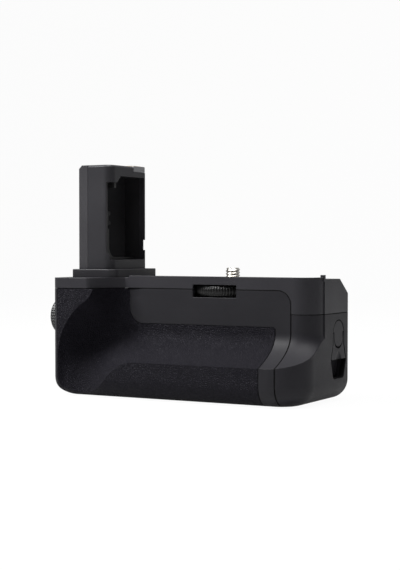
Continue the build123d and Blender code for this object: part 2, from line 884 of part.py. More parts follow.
with BuildPart() as pocket_frame:
    with BuildSketch(Plane.YZ.offset(pocket_floor_x + frame_gap)):
        with BuildLine():
            Polyline(
                (frame_rib_front, frame_high),
                (frame_rib_front, pocket_low + frame_gap),
                (tower_back - tower_wall / 2 - frame_gap, pocket_low + frame_gap),
                (tower_back - tower_wall / 2 - frame_gap, frame_high),
                close=True,
            )
        make_face()
        with BuildLine():
            Polyline(
                (frame_rib_front + frame_rib, frame_high + frame_rib),
                (frame_rib_front + frame_rib, pocket_low + frame_gap + frame_rib),
                (tower_back + overrun, pocket_low + frame_gap + frame_rib),
                (tower_back + overrun, frame_high + frame_rib),
                close=True,
            )
        make_face(mode=Mode.SUBTRACT)
        inner_corner = vertices().sort_by_distance(
            (frame_rib_front + frame_rib, pocket_low + frame_gap + frame_rib, 0)
        )[0]
        fillet(inner_corner, frame_corner)
    extrude(amount=frame_reach_x - pocket_floor_x)
save(pocket_frame.part, "pocket_frame")

hook_y = frame_rib_front
hook_width = 1.6
hook_drop = 2.4
hook_inset = 1.0
hook_length = 3.2
hook_edge = 0.5
hook_right_x = tower_right - hook_inset
hook_left_x = hook_right_x - hook_length

with BuildPart() as door_hook:
    block(
        (hook_left_x, hook_y - hook_width, pocket_high - hook_drop),
        (hook_right_x, hook_y, pocket_high - frame_gap),
    )
    fillet(door_hook.edges().filter_by(Axis.X).group_by(Axis.Z)[0], hook_edge)
save(door_hook.part, "door_hook")

with BuildPart() as contact_block:
    block(
        (contact_left, contact_front, contact_low),
        (tower_right - fit_gap, tower_back - fit_gap, contact_high),
    )
    fillet(contact_block.edges().filter_by(Axis.X).group_by(Axis.Z)[-1], contact_edge)
save(contact_block.part, "contact_block")

plate_count = 4
plate_width = 1.3
plate_thickness = 0.2

with BuildPart() as contact_plates:
    for k in range(plate_count):
        y = contact_front + (tower_back - contact_front) * (k + 1) / (plate_count + 1)
        block(
            (contact_left + plate_width, y - plate_width / 2, contact_high),
            (tower_right - plate_width, y + plate_width / 2, contact_high + plate_thickness),
        )
save(contact_plates.part, "contact_plates")

# Battery chamber, a long sleeve that the tray slides in, with sprung pins at its closed end
with BuildPart() as battery_chamber:
    block(
        (chamber_left_x, chamber_front_y, chamber_low_z),
        (chamber_right_x, chamber_back_y, chamber_high_z),
    )
    block(
        (tray_left_x - tray_gap, tray_front_y - tray_gap, tray_low_z - tray_gap),
        (chamber_right_x + overrun, tray_back_y + tray_gap, tray_high_z + tray_gap),
        mode=Mode.SUBTRACT,
    )
    pin_y = (tray_front_y + tray_back_y) / 2
    pin_z = (tray_low_z + tray_high_z) / 2
    pin_radius = 0.6
    pin_pitch = 4.0
    pin_offsets = (-pin_pitch, 0, pin_pitch)
    for offset_z in pin_offsets:
        hole_start = (chamber_left_x - overrun, pin_y, pin_z + offset_z)
        rod(hole_start, (1, 0, 0), pin_radius + fit_gap / 2, 2 * overrun, mode=Mode.SUBTRACT)
save(battery_chamber.part, "battery_chamber")

pin_length = 2.2
pin_plate_thickness = 0.8

with BuildPart() as chamber_pins:
    for offset_z in pin_offsets:
        rod((tray_left_x - fit_gap, pin_y, pin_z + offset_z), (-1, 0, 0), pin_radius, pin_length)
    block(
        (
            tray_left_x - fit_gap - pin_length - pin_plate_thickness,
            pin_y - pin_pitch / 2,
            pin_z - pin_pitch * 3 / 2,
        ),
        (tray_left_x - fit_gap - pin_length, pin_y + pin_pitch / 2, pin_z + pin_pitch * 3 / 2),
    )
save(chamber_pins.part, "chamber_pins")

# Boards: main board in front of the chamber, its parts, and the boards behind the buttons
with BuildPart() as main_board:
    block((board_left, board_front, board_low), (board_right, board_front + board_thickness, board_high))
save(main_board.part, "main_board")

chip_height = 1.2
chip_shares = [(0.19, 0.40), (0.42, 0.53), (0.70, 0.26), (0.86, 0.62)]
chip_sides = [9.0, 7.0, 8.0, 6.0]

with BuildPart() as board_chips:
    for (x_share, z_share), side in zip(chip_shares, chip_sides):
        x = board_left + (board_right - board_left) * x_share
        z = board_low + (board_high - board_low) * z_share
        block(
            (x, board_front + board_thickness, z),
            (x + side, board_front + board_thickness + chip_height, z + side),
        )
save(board_chips.part, "board_chips")

dome_radius = 2.0
dome_height = 1.0
switch_board_depth = 6.3
switch_board_x = switch_board_depth - left_reach
switch_board_thickness = 1.2
switch_board_half = 5.8
switch_board_front = shutter_y - switch_board_half - dome_height
switch_board_back = rear_dial_y - rear_dial_radius - boss_gap
switch_board_below = 5.6
switch_board_low = shutter_z - switch_board_below
switch_board_above = 7.0
switch_board_high = shutter_z + switch_board_above

with BuildPart() as switch_board:
    block(
        (switch_board_x, switch_board_front, switch_board_low),
        (switch_board_x + switch_board_thickness, switch_board_back, switch_board_high),
    )
    rod((switch_board_x, shutter_y, shutter_z), (-1, 0, 0), dome_radius, dome_height)
    for z in (switch_board_low + dome_height, switch_board_high - 2 * dome_height):
        rod((switch_board_x + switch_board_thickness, shutter_y, z), (1, 0, 0), dome_height / 2,
            chamber_left_x - switch_board_x - switch_board_thickness)
save(switch_board.part, "switch_board")

button_board_depth = 4.9
button_board_front = back_reach - button_board_depth
button_board_thickness = 1.1
button_board_back = button_board_front + button_board_thickness
button_mat_thickness = 0.8
button_mat_back = button_board_back + button_mat_thickness
button_board_margin = 5.0
button_board_left = focus_x - button_board_margin
button_board_right = custom_x + button_board_margin
button_board_drop = 2.2
button_board_high = seam_height - button_board_drop

with BuildPart() as button_board:
    block(
        (button_board_left, button_board_front, chamber_high_z + fit_gap),
        (button_board_right, button_board_back, button_board_high),
    )
save(button_board.part, "button_board")

with BuildPart() as button_mat:
    block(
        (button_board_left, button_board_back, chamber_high_z + fit_gap),
        (button_board_right, button_mat_back, button_board_high),
    )
save(button_mat.part, "button_mat")

# Metal chassis plate with the screw's lower bush
plate_board_gap = 3.0
plate_left = button_board_right + plate_board_gap
plate_right = end_wall_x - fit_gap
lower_bush_radius = 4.6
lower_bush_gap = 0.6
lower_bush_high = wheel_low - lower_bush_gap

with BuildPart() as chassis_plate:
    block(
        (plate_left, inner_front_y + fit_gap, plate_low),
        (plate_right, inner_back_y - fit_gap, plate_high),
    )
save(chassis_plate.part, "chassis_plate")

with BuildPart() as lower_bush:
    rod((0, 0, plate_high), (0, 0, 1), lower_bush_radius, lower_bush_high - plate_high)
    rod((0, 0, plate_high), (0, 0, 1), shank_radius + running_gap, lower_bush_high, mode=Mode.SUBTRACT)
save(lower_bush.part, "lower_bush")

with BuildPart() as deck_bush:
    rod((0, 0, bush_low_z), (0, 0, 1), bush_radius, deck_height - bush_low_z)
    rod((0, 0, bush_low_z), (0, 0, 1), shank_radius + running_gap, overrun, mode=Mode.SUBTRACT)
save(deck_bush.part, "deck_bush")

# Tripod socket in the underside
thread_depth = 6.4

with BuildPart() as tripod_socket:
    rod((0, socket_y, 0), (0, 0, 1), socket_flange - fit_gap, socket_flange_height - fit_gap)
    rod((0, socket_y, 0), (0, 0, 1), socket_radius - fit_gap, socket_height)
    rod((0, socket_y, 0), (0, 0, 1), screw_radius, thread_depth, mode=Mode.SUBTRACT)
save(tripod_socket.part, "tripod_socket")

# Case screws, in from the back
with BuildPart() as case_screws:
    for x, z in screw_places:
        rod((x, inner_back_y, z), (0, 1, 0), case_screw_head, case_screw_head_height)
        rod((x, inner_back_y - case_screw_length, z), (0, 1, 0), case_screw_radius - fit_gap / 2,
            case_screw_length)
save(case_screws.part, "case_screws")

# Attachment screw and wheel, turned together by the fingertip
thread_chamfer = 0.5
stud_low = deck_height + running_gap
wheel_chamfer = 0.4
washer_radius = 6.5
washer_thickness = 0.5

with BuildPart() as attachment_screw:
    rod((0, 0, plate_high + boss_gap), (0, 0, 1), shank_radius, deck_height - plate_high)
    rod((0, 0, stud_low), (0, 0, 1), screw_radius, screw_top - stud_low)
    chamfer(attachment_screw.faces().sort_by(Axis.Z)[-1].edges(), thread_chamfer)
save(attachment_screw.part, "attachment_screw")

with BuildPart() as attachment_wheel:
    rod((0, 0, wheel_low), (0, 0, 1), wheel_radius, wheel_high - wheel_low)
    chamfer(attachment_wheel.edges(), wheel_chamfer)
    rod((0, 0, wheel_low), (0, 0, 1), shank_radius, wheel_high, mode=Mode.SUBTRACT)
save(attachment_wheel.part, "attachment_wheel")

with BuildPart() as thrust_washer:
    rod((0, 0, wheel_high), (0, 0, 1), washer_radius, washer_thickness)
    rod((0, 0, wheel_high), (0, 0, 1), shank_radius, washer_thickness, mode=Mode.SUBTRACT)
save(thrust_washer.part, "thrust_washer")

# Battery tray: two bays in line, open to the back, with a sliding catch above each bay
bay_starts = [tray_left_x + tray_floor, tray_left_x + 2 * tray_floor + cell_length]
catch_width = 8.0
catch_travel = 4.0
catch_length = 4.2
catch_front = tray_back_y - catch_length
catch_lip = 1.0
catch_lip_depth = 1.2
tray_screw_radius = 1.0
tray_screw_head = 1.8
tray_screw_head_height = 1.0
tray_screw_length = 7.0
tray_screw_margins = (5.0, 2.4, 6.1, 3.9)
front_margin, back_margin, low_margin, high_margin = tray_screw_margins
tray_screw_places = [
    (tray_front_y + front_margin, tray_low_z + low_margin),
    (tray_back_y - back_margin, tray_low_z + low_margin),
    (tray_front_y + front_margin, tray_high_z - high_margin),
]
window_margin = 7.0

with BuildPart() as tray_frame:
    block((tray_left_x, tray_front_y, tray_low_z), (tray_right_x, tray_back_y, tray_high_z))
    for x in bay_starts:
        block(
            (x, tray_front_y + tray_floor, tray_low_z + tray_wall),
            (x + cell_length, tray_back_y + overrun, tray_high_z - tray_wall),
            mode=Mode.SUBTRACT,
        )
        block(
            (x + window_margin, tray_front_y - overrun, tray_low_z + window_margin),
            (x + cell_length - window_margin, tray_back_y, tray_high_z - window_margin),
            mode=Mode.SUBTRACT,
        )
        middle = x + cell_length / 2
        block(
            (
                middle - catch_width / 2 - fit_gap,
                catch_front - fit_gap,
                tray_high_z - tray_wall - overrun,
            ),
            (
                middle + catch_width / 2 + catch_travel + fit_gap,
                tray_back_y + overrun,
                tray_high_z + overrun,
            ),
            mode=Mode.SUBTRACT,
        )
    for y, z in tray_screw_places:
        rod((tray_right_x - 2 * overrun, y, z), (1, 0, 0), tray_screw_radius + fit_gap / 2, 3 * overrun,
            mode=Mode.SUBTRACT)
        rod((bay_starts[1] + cell_length - overrun, y, z), (1, 0, 0), tray_screw_head + fit_gap,
            overrun + tray_screw_head_height + fit_gap, mode=Mode.SUBTRACT)
    pad_recess = 0.4
    for offset_z in pin_offsets:
        block(
            (tray_left_x - overrun, pin_y - pin_pitch / 4, pin_z + offset_z - pin_pitch / 4),
            (tray_left_x + pad_recess, pin_y + pin_pitch / 4, pin_z + offset_z + pin_pitch / 4),
            mode=Mode.SUBTRACT,
        )
save(tray_frame.part, "tray_frame")

pad_half = pin_pitch / 4 - fit_gap

with BuildPart() as tray_contacts:
    for offset_z in pin_offsets:
        block(
            (tray_left_x, pin_y - pad_half, pin_z + offset_z - pad_half),
            (tray_left_x + pad_recess, pin_y + pad_half, pin_z + offset_z + pad_half),
        )
save(tray_contacts.part, "tray_contacts")

for number, x in enumerate(bay_starts, start=1):
    with BuildPart() as cell_catch:
        middle = x + cell_length / 2
        block(
            (middle - catch_width / 2, catch_front, tray_high_z - tray_wall),
            (middle + catch_width / 2, tray_back_y, tray_high_z),
        )
        block(
            (
                middle - catch_width / 2,
                tray_back_y - catch_lip_depth,
                tray_high_z - tray_wall - catch_lip,
            ),
            (middle + catch_width / 2, tray_back_y, tray_high_z - tray_wall),
        )
    save(cell_catch.part, f"cell_catch_{number}")

# Tray cap: the lower right end of the grip, with the lock's recess and a finger recess
disc_back_margin = 12.4
disc_y = back_reach - disc_back_margin
disc_height_share = 0.766
disc_z = disc_height_share * end_seam_height
disc_radius = 6.05
lock_gap = 0.15
tongue_half = 4.4
tongue_drop = 1.4
tongue_centre_z = disc_z - tongue_drop
lever_half = 8.3
lever_waist_drop = 4.7
lever_waist_z = disc_z - lever_waist_drop
lever_drop = 11.6
lever_low_z = disc_z - lever_drop
lock_thickness = 1.4
lock_depth = 1.6
lock_sunk = 0.05
finger_half_low = 5.6
finger_height_share = 0.257
finger_low_z = finger_height_share * end_seam_height
finger_depth = 4.2
finger_round = 1.6
cap_room_depth = 5.2
cap_room_front = -4.5
cap_room_low = 6.0
cap_room_margin = 1.9
cap_room_high = end_seam_height - cap_room_margin
front_room_margin = 5.3
front_room_right = right_reach - front_room_margin
cap_wall = 2.6
shaft_radius = 2.5
lock_bush_radius = 3.55
cam_gap = 1.95
cam_x = tray_right_x + cam_gap
cam_thickness = 1.8
cam_radius = 4.0
cam_reach = 8.6
cam_half = 1.8


def lever_outline(grow):
    """Outline of the lock's turn key seen from the right: round top, then wider to its lower edge."""
    with BuildLine() as outline:
        Polyline(
            (disc_y - disc_radius - grow, disc_z),
            (disc_y - disc_radius - grow, lever_waist_z),
            (disc_y - lever_half - grow, lever_low_z - grow),
            (disc_y + lever_half + grow, lever_low_z - grow),
            (disc_y + disc_radius + grow, lever_waist_z),
            (disc_y + disc_radius + grow, disc_z),
            close=True,
        )
    make_face(outline.edges())


with BuildPart() as tray_cap:
    add(outer_block)
    add(end_cutter(), mode=Mode.SUBTRACT)
    block(
        (tray_right_x, -bulge_reach - overrun, -overrun),
        (right_reach + overrun, back_reach + overrun, end_seam_height - seam_gap / 2),
        mode=Mode.INTERSECT,
    )
    block(
        (tray_right_x - overrun, cap_room_front, cap_room_low),
        (tray_right_x + cap_room_depth, inner_back_y, cap_room_high),
        mode=Mode.SUBTRACT,
    )
    block(
        (tray_right_x - overrun, inner_front_y, cap_wall),
        (front_room_right, cap_room_front - cap_wall, cap_room_high),
        mode=Mode.SUBTRACT,
    )
    block(
        (tray_right_x - overrun, bulge_room_front, bulge_room_low + wall),
        (front_room_right - cap_wall, inner_front_y, bulge_room_high),
        mode=Mode.SUBTRACT,
    )
    for y, z in tray_screw_places:
        rod((tray_right_x, y, z), (1, 0, 0), 2 * tray_screw_radius, cap_room_depth + wall)
        rod((tray_right_x, y, z), (1, 0, 0), tray_screw_radius, tray_screw_length, mode=Mode.SUBTRACT)
    rod((right_reach - lock_depth, disc_y, disc_z), (1, 0, 0), disc_radius + lock_gap, overrun,
        mode=Mode.SUBTRACT)
    with BuildSketch(Plane.YZ.offset(right_reach - lock_depth)):
        lever_outline(lock_gap)
    extrude(amount=overrun, mode=Mode.SUBTRACT)
    with BuildSketch(Plane.YZ.offset(right_reach - finger_depth)):
        with BuildLine():
            Polyline(
                (disc_y - lever_half - lock_gap, lever_low_z + lock_gap),
                (disc_y - finger_half_low, finger_low_z),
                (disc_y + finger_half_low, finger_low_z),
                (disc_y + lever_half + lock_gap, lever_low_z + lock_gap),
                close=True,
            )
        make_face()
        fillet(vertices().group_by(Axis.Y)[0], finger_round)
    extrude(amount=2 * overrun, mode=Mode.SUBTRACT)
    rod((tray_right_x, disc_y, disc_z), (1, 0, 0), lock_bush_radius + running_gap, 2 * overrun,
        mode=Mode.SUBTRACT)
save(tray_cap.part, "tray_cap")

with BuildPart() as lock_bush:
    bush_start = tray_right_x + cap_room_depth
    bush_length = right_reach - lock_depth - bush_start
    rod((bush_start, disc_y, disc_z), (1, 0, 0), lock_bush_radius, bush_length)
    rod((bush_start, disc_y, disc_z), (1, 0, 0), shaft_radius + running_gap, bush_length,
        mode=Mode.SUBTRACT)
save(lock_bush.part, "lock_bush")

with BuildPart() as tray_screws:
    for y, z in tray_screw_places:
        head_x = bay_starts[1] + cell_length
        rod((head_x, y, z), (1, 0, 0), tray_screw_head, tray_screw_head_height)
        rod((head_x, y, z), (1, 0, 0), tray_screw_radius - fit_gap / 2, tray_screw_length)
save(tray_screws.part, "tray_screws")

hinge_pin_radius = 0.35
hinge_gap = 0.05
disc_x = right_reach - lock_sunk - lock_thickness
hinge_x = disc_x + lock_thickness / 2
hinge_notch = lock_thickness / 2 + lock_gap

with BuildPart() as lock_disc:
    rod((disc_x, disc_y, disc_z), (1, 0, 0), disc_radius, lock_thickness)
    block(
        (disc_x - overrun, disc_y - 2 * disc_radius, disc_z - 2 * disc_radius),
        (disc_x + overrun, disc_y + 2 * disc_radius, disc_z + hinge_notch),
        mode=Mode.SUBTRACT,
    )
    block(
        (disc_x, disc_y - tongue_half, tongue_centre_z),
        (disc_x + lock_thickness, disc_y + tongue_half, disc_z + hinge_notch),
    )
    rod((disc_x, disc_y, tongue_centre_z), (1, 0, 0), tongue_half, lock_thickness)
    rod((cam_x, disc_y, disc_z), (1, 0, 0), shaft_radius, disc_x - cam_x)
    rod((hinge_x, disc_y - disc_radius, disc_z), (0, 1, 0), hinge_pin_radius + hinge_gap,
        2 * disc_radius, mode=Mode.SUBTRACT)
save(lock_disc.part, "lock_disc")

with BuildPart() as lock_cam:
    rod((cam_x, disc_y, disc_z), (1, 0, 0), cam_radius, cam_thickness)
    block((cam_x, disc_y - cam_half, disc_z - cam_reach),
        (cam_x + cam_thickness, disc_y + cam_half, disc_z))
    rod((cam_x, disc_y, disc_z), (1, 0, 0), shaft_radius, cam_thickness, mode=Mode.SUBTRACT)
save(lock_cam.part, "lock_cam")

with BuildPart() as hinge_pin:
    rod((hinge_x, disc_y - disc_radius + fit_gap, disc_z), (0, 1, 0), hinge_pin_radius,
        2 * (disc_radius - fit_gap))
save(hinge_pin.part, "hinge_pin")

with BuildPart() as lock_lever:
    with BuildSketch(Plane.YZ.offset(disc_x)):
        lever_outline(0)
    extrude(amount=lock_thickness)
    block(
        (disc_x - overrun, disc_y - tongue_half - lock_gap, tongue_centre_z),
        (disc_x + overrun, disc_y + tongue_half + lock_gap, disc_z + overrun),
        mode=Mode.SUBTRACT,
    )
    rod((disc_x, disc_y, tongue_centre_z), (1, 0, 0), tongue_half + lock_gap, lock_thickness,
        mode=Mode.SUBTRACT)
    for y in (disc_y - disc_radius, disc_y + tongue_half + lock_gap):
        rod((hinge_x, y, disc_z), (0, 1, 0), lock_thickness / 2, disc_radius - tongue_half - lock_gap)
    rod((hinge_x, disc_y - 2 * disc_radius, disc_z), (0, 1, 0), hinge_pin_radius + hinge_gap,
        4 * disc_radius, mode=Mode.SUBTRACT)
save(lock_lever.part, "lock_lever")

# Shutter button and power ring on the left end
with BuildPart() as shutter_button:
    rod((shutter_outer_x, shutter_y, shutter_z), (1, 0, 0), shutter_radius, shutter_depth)
    fillet(shutter_button.faces().sort_by(Axis.X)[0].edges(), shutter_edge)
    rod((shutter_outer_x + shutter_depth, shutter_y, shutter_z), (1, 0, 0), shutter_stem_radius,
        shutter_stem_length)
save(shutter_button.part, "shutter_button")

with BuildPart() as power_ring:
    ring_width = -left_reach - fit_gap - collar_outer_x
    rod((collar_outer_x, shutter_y, shutter_z), (1, 0, 0), power_radius, ring_width)
    block(
        (collar_outer_x, shutter_y - power_tab_width / 2, shutter_z),
        (
            collar_outer_x + ring_width,
            shutter_y + power_tab_width / 2,
            shutter_z + power_radius + power_tab_reach,
        ),
    )
    rod((collar_outer_x, shutter_y, shutter_z), (1, 0, 0), collar_radius + running_gap, ring_width,
        mode=Mode.SUBTRACT)
save(power_ring.part, "power_ring")

# Dials: ribbed rims on plain shafts
dial_edge = 0.6


def ribbed_dial(start, radius, width):
    """Dial along X with shallow grooves round its rim and a bevelled outer edge."""
    with BuildPart() as dial:
        rod(start, (1, 0, 0), radius, width)
        chamfer(dial.edges(), dial_edge)
        with BuildSketch(Plane(origin=start, x_dir=(0, 1, 0), z_dir=(1, 0, 0))) as grooves:
            with PolarLocations(radius, rib_count):
                Circle(rib_depth)
        extrude(grooves.sketch, amount=width, mode=Mode.SUBTRACT)
        rod(start, (1, 0, 0), dial_shaft_radius, width, mode=Mode.SUBTRACT)
    return dial.part


front_dial = ribbed_dial((dial_outer_x, dial_y, dial_z), dial_radius, dial_inner_x - dial_outer_x)
save(front_dial, "front_dial")

with BuildPart() as front_dial_shaft:
    rod((dial_outer_x, dial_y, dial_z), (1, 0, 0), dial_shaft_radius,
        dial_inner_x - dial_outer_x + dial_shaft_length)
save(front_dial_shaft.part, "front_dial_shaft")

rear_dial = ribbed_dial((rear_dial_left_x, rear_dial_y, rear_dial_z), rear_dial_radius, rear_dial_width)
save(rear_dial, "rear_dial")

with BuildPart() as rear_dial_shaft:
    shaft_start = -left_reach + wall / 2 + fit_gap
    rod((shaft_start, rear_dial_y, rear_dial_z), (1, 0, 0), dial_shaft_radius,
        bracket_x + bracket_thickness - shaft_start)
save(rear_dial_shaft.part, "rear_dial_shaft")

with BuildPart() as dial_bracket:
    block(
        (bracket_x, rear_dial_y - bracket_half, rear_dial_z - bracket_half),
        (bracket_x + bracket_thickness, inner_back_y, rear_dial_z + bracket_half),
    )
    rod((bracket_x, rear_dial_y, rear_dial_z), (1, 0, 0), dial_shaft_radius + running_gap,
        bracket_thickness, mode=Mode.SUBTRACT)
save(dial_bracket.part, "dial_bracket")

# Rear buttons and the lever round the focus button
for name, x in (("focus_button", focus_x), ("custom_button", custom_x)):
    with BuildPart() as button:
        rod((x, button_inner_y, button_z), (0, 1, 0), button_radius, button_outer_y - button_inner_y)
        fillet(button.faces().sort_by(Axis.Y)[-1].edges(), button_edge)
    save(button.part, name)

with BuildPart() as focus_lever:
    ring_depth = focus_ring_back_y - back_reach - running_gap
    rod((focus_x, back_reach + running_gap, button_z), (0, 1, 0), focus_ring_radius, ring_depth)
    rod((focus_x, back_reach, button_z), (0, 1, 0), focus_collar_radius + running_gap, overrun,
        mode=Mode.SUBTRACT)
    block(
        (focus_x + focus_tab_start, back_reach + running_gap, button_z - focus_tab_half),
        (focus_x + focus_tab_end, focus_ring_back_y + focus_tab_proud, button_z + focus_tab_half),
    )
save(focus_lever.part, "focus_lever")
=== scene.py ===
import math

import bpy
import numpy as np
from mathutils import Matrix, Vector


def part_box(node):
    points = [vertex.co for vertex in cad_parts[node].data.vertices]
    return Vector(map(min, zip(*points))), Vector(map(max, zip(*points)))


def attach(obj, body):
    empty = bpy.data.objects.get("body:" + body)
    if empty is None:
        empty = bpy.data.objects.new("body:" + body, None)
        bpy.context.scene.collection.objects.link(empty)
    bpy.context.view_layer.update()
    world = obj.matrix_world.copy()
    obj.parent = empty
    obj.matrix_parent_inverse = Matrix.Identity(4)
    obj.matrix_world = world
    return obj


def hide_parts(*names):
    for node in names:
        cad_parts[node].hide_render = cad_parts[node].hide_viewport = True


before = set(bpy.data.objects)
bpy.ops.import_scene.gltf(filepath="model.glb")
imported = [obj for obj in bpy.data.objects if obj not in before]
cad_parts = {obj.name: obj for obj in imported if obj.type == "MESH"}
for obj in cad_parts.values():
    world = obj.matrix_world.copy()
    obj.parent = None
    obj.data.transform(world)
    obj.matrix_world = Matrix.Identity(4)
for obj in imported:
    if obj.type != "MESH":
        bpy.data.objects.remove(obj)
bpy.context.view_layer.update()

# The camera stands at the photographer's place: a long lens, 29 degrees round from the grip's
# front towards its right end, and hardly above the grip's middle.
view_azimuth = math.radians(28.9367)
view_elevation = math.radians(1.6902)
view_distance = 0.59786
view_centre = Vector((-0.01554, -0.00216, 0.04955))
camera_lens = 84.08

view_back = Vector((
    math.sin(view_azimuth) * math.cos(view_elevation),
    -math.cos(view_azimuth) * math.cos(view_elevation),
    math.sin(view_elevation),
))
camera_data = bpy.data.cameras.new("camera")
camera_data.lens = camera_lens
camera_data.sensor_width = 36
camera_data.clip_start = 0.01
camera = bpy.data.objects.new("camera", camera_data)
camera.matrix_world = Matrix.Translation(view_centre + view_back * view_distance) @ (
    view_back.to_track_quat("Z", "Y").to_matrix().to_4x4()
)
bpy.context.scene.collection.objects.link(camera)
bpy.context.scene.camera = camera
bpy.context.scene.view_settings.view_transform = "Standard"


# Studio: a plain pale floor that turns up into a backdrop, with a soft key lamp high at the left,
# a weak one off at the right and a broad one overhead, as in a product photograph.
def new_material(name, colour, roughness, gloss=0.3):
    """Material with one Principled shader, and the tools to add nodes to it."""
    material = bpy.data.materials.new(name)
    material.use_nodes = True
    tree = material.node_tree
    shader = tree.nodes["Principled BSDF"]
    shader.inputs["Base Color"].default_value = (*colour, 1)
    shader.inputs["Roughness"].default_value = roughness
    shader.inputs["Specular IOR Level"].default_value = gloss
    return material, tree, shader


def new_mesh(name, points, faces):
    """Object at the origin from a table of points and a table of faces, shaded smooth."""
    mesh = bpy.data.meshes.new(name)
    mesh.from_pydata(points.tolist(), [], faces if isinstance(faces, list) else faces.tolist())
    mesh.polygons.foreach_set("use_smooth", np.ones(len(mesh.polygons), bool))
    mesh.update()
    piece = bpy.data.objects.new(name, mesh)
    bpy.context.scene.collection.objects.link(piece)
    return piece


def grid_faces(rows, columns, closed_rows=False, closed_columns=False):
    """Four-cornered faces between neighbours of a grid of points, row by row."""
    i = np.arange(rows if closed_rows else rows - 1)[:, None]
    j = np.arange(columns if closed_columns else columns - 1)[None, :]
    i2, j2 = (i + 1) % rows, (j + 1) % columns
    corners = [i * columns + j, i * columns + j2, i2 * columns + j2, i2 * columns + j]
    return np.stack([c.ravel() for c in corners], axis=1)


def combine(tree, operation, a, b):
    """Two values, or a value and a number, put together by a Math node."""
    made = tree.nodes.new("ShaderNodeMath")
    made.operation = operation
    for socket, item in zip(made.inputs, (a, b)):
        if isinstance(item, (int, float)):
            socket.default_value = item
        else:
            tree.links.new(item, socket)
    return made.outputs[0]


def seen_white(tree, camera_share, mirror_share):
    """How much of a surface is plain white paper: to the camera, and in reflections and glass."""
    paths = tree.nodes.new("ShaderNodeLightPath")
    seen = combine(tree, "MULTIPLY", paths.outputs["Is Camera Ray"], camera_share)
    for ray in ("Is Glossy Ray", "Is Transmission Ray"):
        mirrored = combine(tree, "MULTIPLY", paths.outputs[ray], mirror_share)
        seen = combine(tree, "MAXIMUM", seen, mirrored)
    return seen


floor_reach = 3.0
floor_bend = 0.6
floor_drop = 0.0002
backdrop_y = 1.6
floor_colour = (0.60, 0.60, 0.60)
floor_roughness = 0.9
floor_camera_share = 0.96
floor_mirror_share = 0.35
sky_share = 0.15
bend_points = 17
profile_angle = np.linspace(0, math.pi / 2, bend_points)
floor_profile = np.concatenate([
    [[-floor_reach, 0]],
    np.stack([
        backdrop_y - floor_bend + floor_bend * np.sin(profile_angle),
        floor_bend - floor_bend * np.cos(profile_angle),
    ], axis=1),
    [[backdrop_y, floor_reach]],
])
floor_sides = np.array([-floor_reach, floor_reach])
floor_points = np.stack([
    np.repeat(floor_sides, len(floor_profile)),
    np.tile(floor_profile[:, 0], 2),
    np.tile(floor_profile[:, 1], 2) - floor_drop,
], axis=1)
floor = new_mesh("studio_floor", floor_points, grid_faces(2, len(floor_profile)))
floor_material, tree, shader = new_material("studio_paper", floor_colour, floor_roughness)
white = tree.nodes.new("ShaderNodeEmission")
white.inputs["Strength"].default_value = 1
paper_mix = tree.nodes.new("ShaderNodeMixShader")
tree.links.new(seen_white(tree, floor_camera_share, floor_mirror_share), paper_mix.inputs[0])
tree.links.new(shader.outputs[0], paper_mix.inputs[1])
tree.links.new(white.outputs[0], paper_mix.inputs[2])
tree.links.new(paper_mix.outputs[0], tree.nodes["Material Output"].inputs["Surface"])
floor.data.materials.append(floor_material)

world = bpy.data.worlds.new("studio")
world.use_nodes = True
bpy.context.scene.world = world
tree = world.node_tree
sky = tree.nodes["Background"]
sky.inputs["Color"].default_value = (1, 1, 1, 1)
sky_strength = combine(tree, "MAXIMUM", seen_white(tree, 1.0, sky_share), sky_share)
tree.links.new(sky_strength, sky.inputs["Strength"])

for lamp_name, lamp_place, lamp_size, lamp_power in (
    ("key_lamp", (-0.32, -0.26, 0.47), 0.24, 7.6),
    ("side_lamp", (1.05, -0.10, 0.45), 0.5, 0.5),
    ("top_lamp", (0.15, -0.10, 1.15), 0.7, 22.0),
):
    lamp = bpy.data.lights.new(lamp_name, "AREA")
    lamp.size = lamp_size
    lamp.energy = lamp_power
    lamp_object = bpy.data.objects.new(lamp_name, lamp)
    lamp_object.location = lamp_place
    lamp_object.rotation_mode = "QUATERNION"
    aim = view_centre - Vector(lamp_place)
    lamp_object.rotation_quaternion = aim.to_track_quat("-Z", "Y")
    bpy.context.scene.collection.objects.link(lamp_object)


# Covers: glass-filled nylon, moulded in a tool with a fine spark-eroded grain, so it looks dry
# and dark grey, with faint smears where hands have held it.
def node_group(name, inputs, outputs):
    """Empty shader node group with the named sockets, each a name, a kind and a start value."""
    group = bpy.data.node_groups.new(name, "ShaderNodeTree")
    for socket_name, kind, value in inputs:
        socket = group.interface.new_socket(socket_name, in_out="INPUT", socket_type=kind)
        if value is not None:
            socket.default_value = value
    for socket_name, kind in outputs:
        group.interface.new_socket(socket_name, in_out="OUTPUT", socket_type=kind)
    return group, group.nodes.new("NodeGroupInput"), group.nodes.new("NodeGroupOutput")


def noise(tree, position, size, detail):
    """Noise over the object's own coordinates; size is the width of one blotch in metres."""
    scaled = tree.nodes.new("ShaderNodeVectorMath")
    scaled.operation = "SCALE"
    scaled.inputs["Scale"].default_value = 1 / size
    tree.links.new(position, scaled.inputs[0])
    texture = tree.nodes.new("ShaderNodeTexNoise")
    texture.inputs["Scale"].default_value = 1
    texture.inputs["Detail"].default_value = detail
    tree.links.new(scaled.outputs[0], texture.inputs["Vector"])
    return texture.outputs["Fac"]


def ranged(tree, value, low, high, start=0.0, end=1.0):
    """Value carried from start..end to low..high."""
    mapped = tree.nodes.new("ShaderNodeMapRange")
    for socket, number in (("From Min", start), ("From Max", end), ("To Min", low), ("To Max", high)):
        mapped.inputs[socket].default_value = number
    tree.links.new(value, mapped.inputs["Value"])
    return mapped.outputs["Result"]


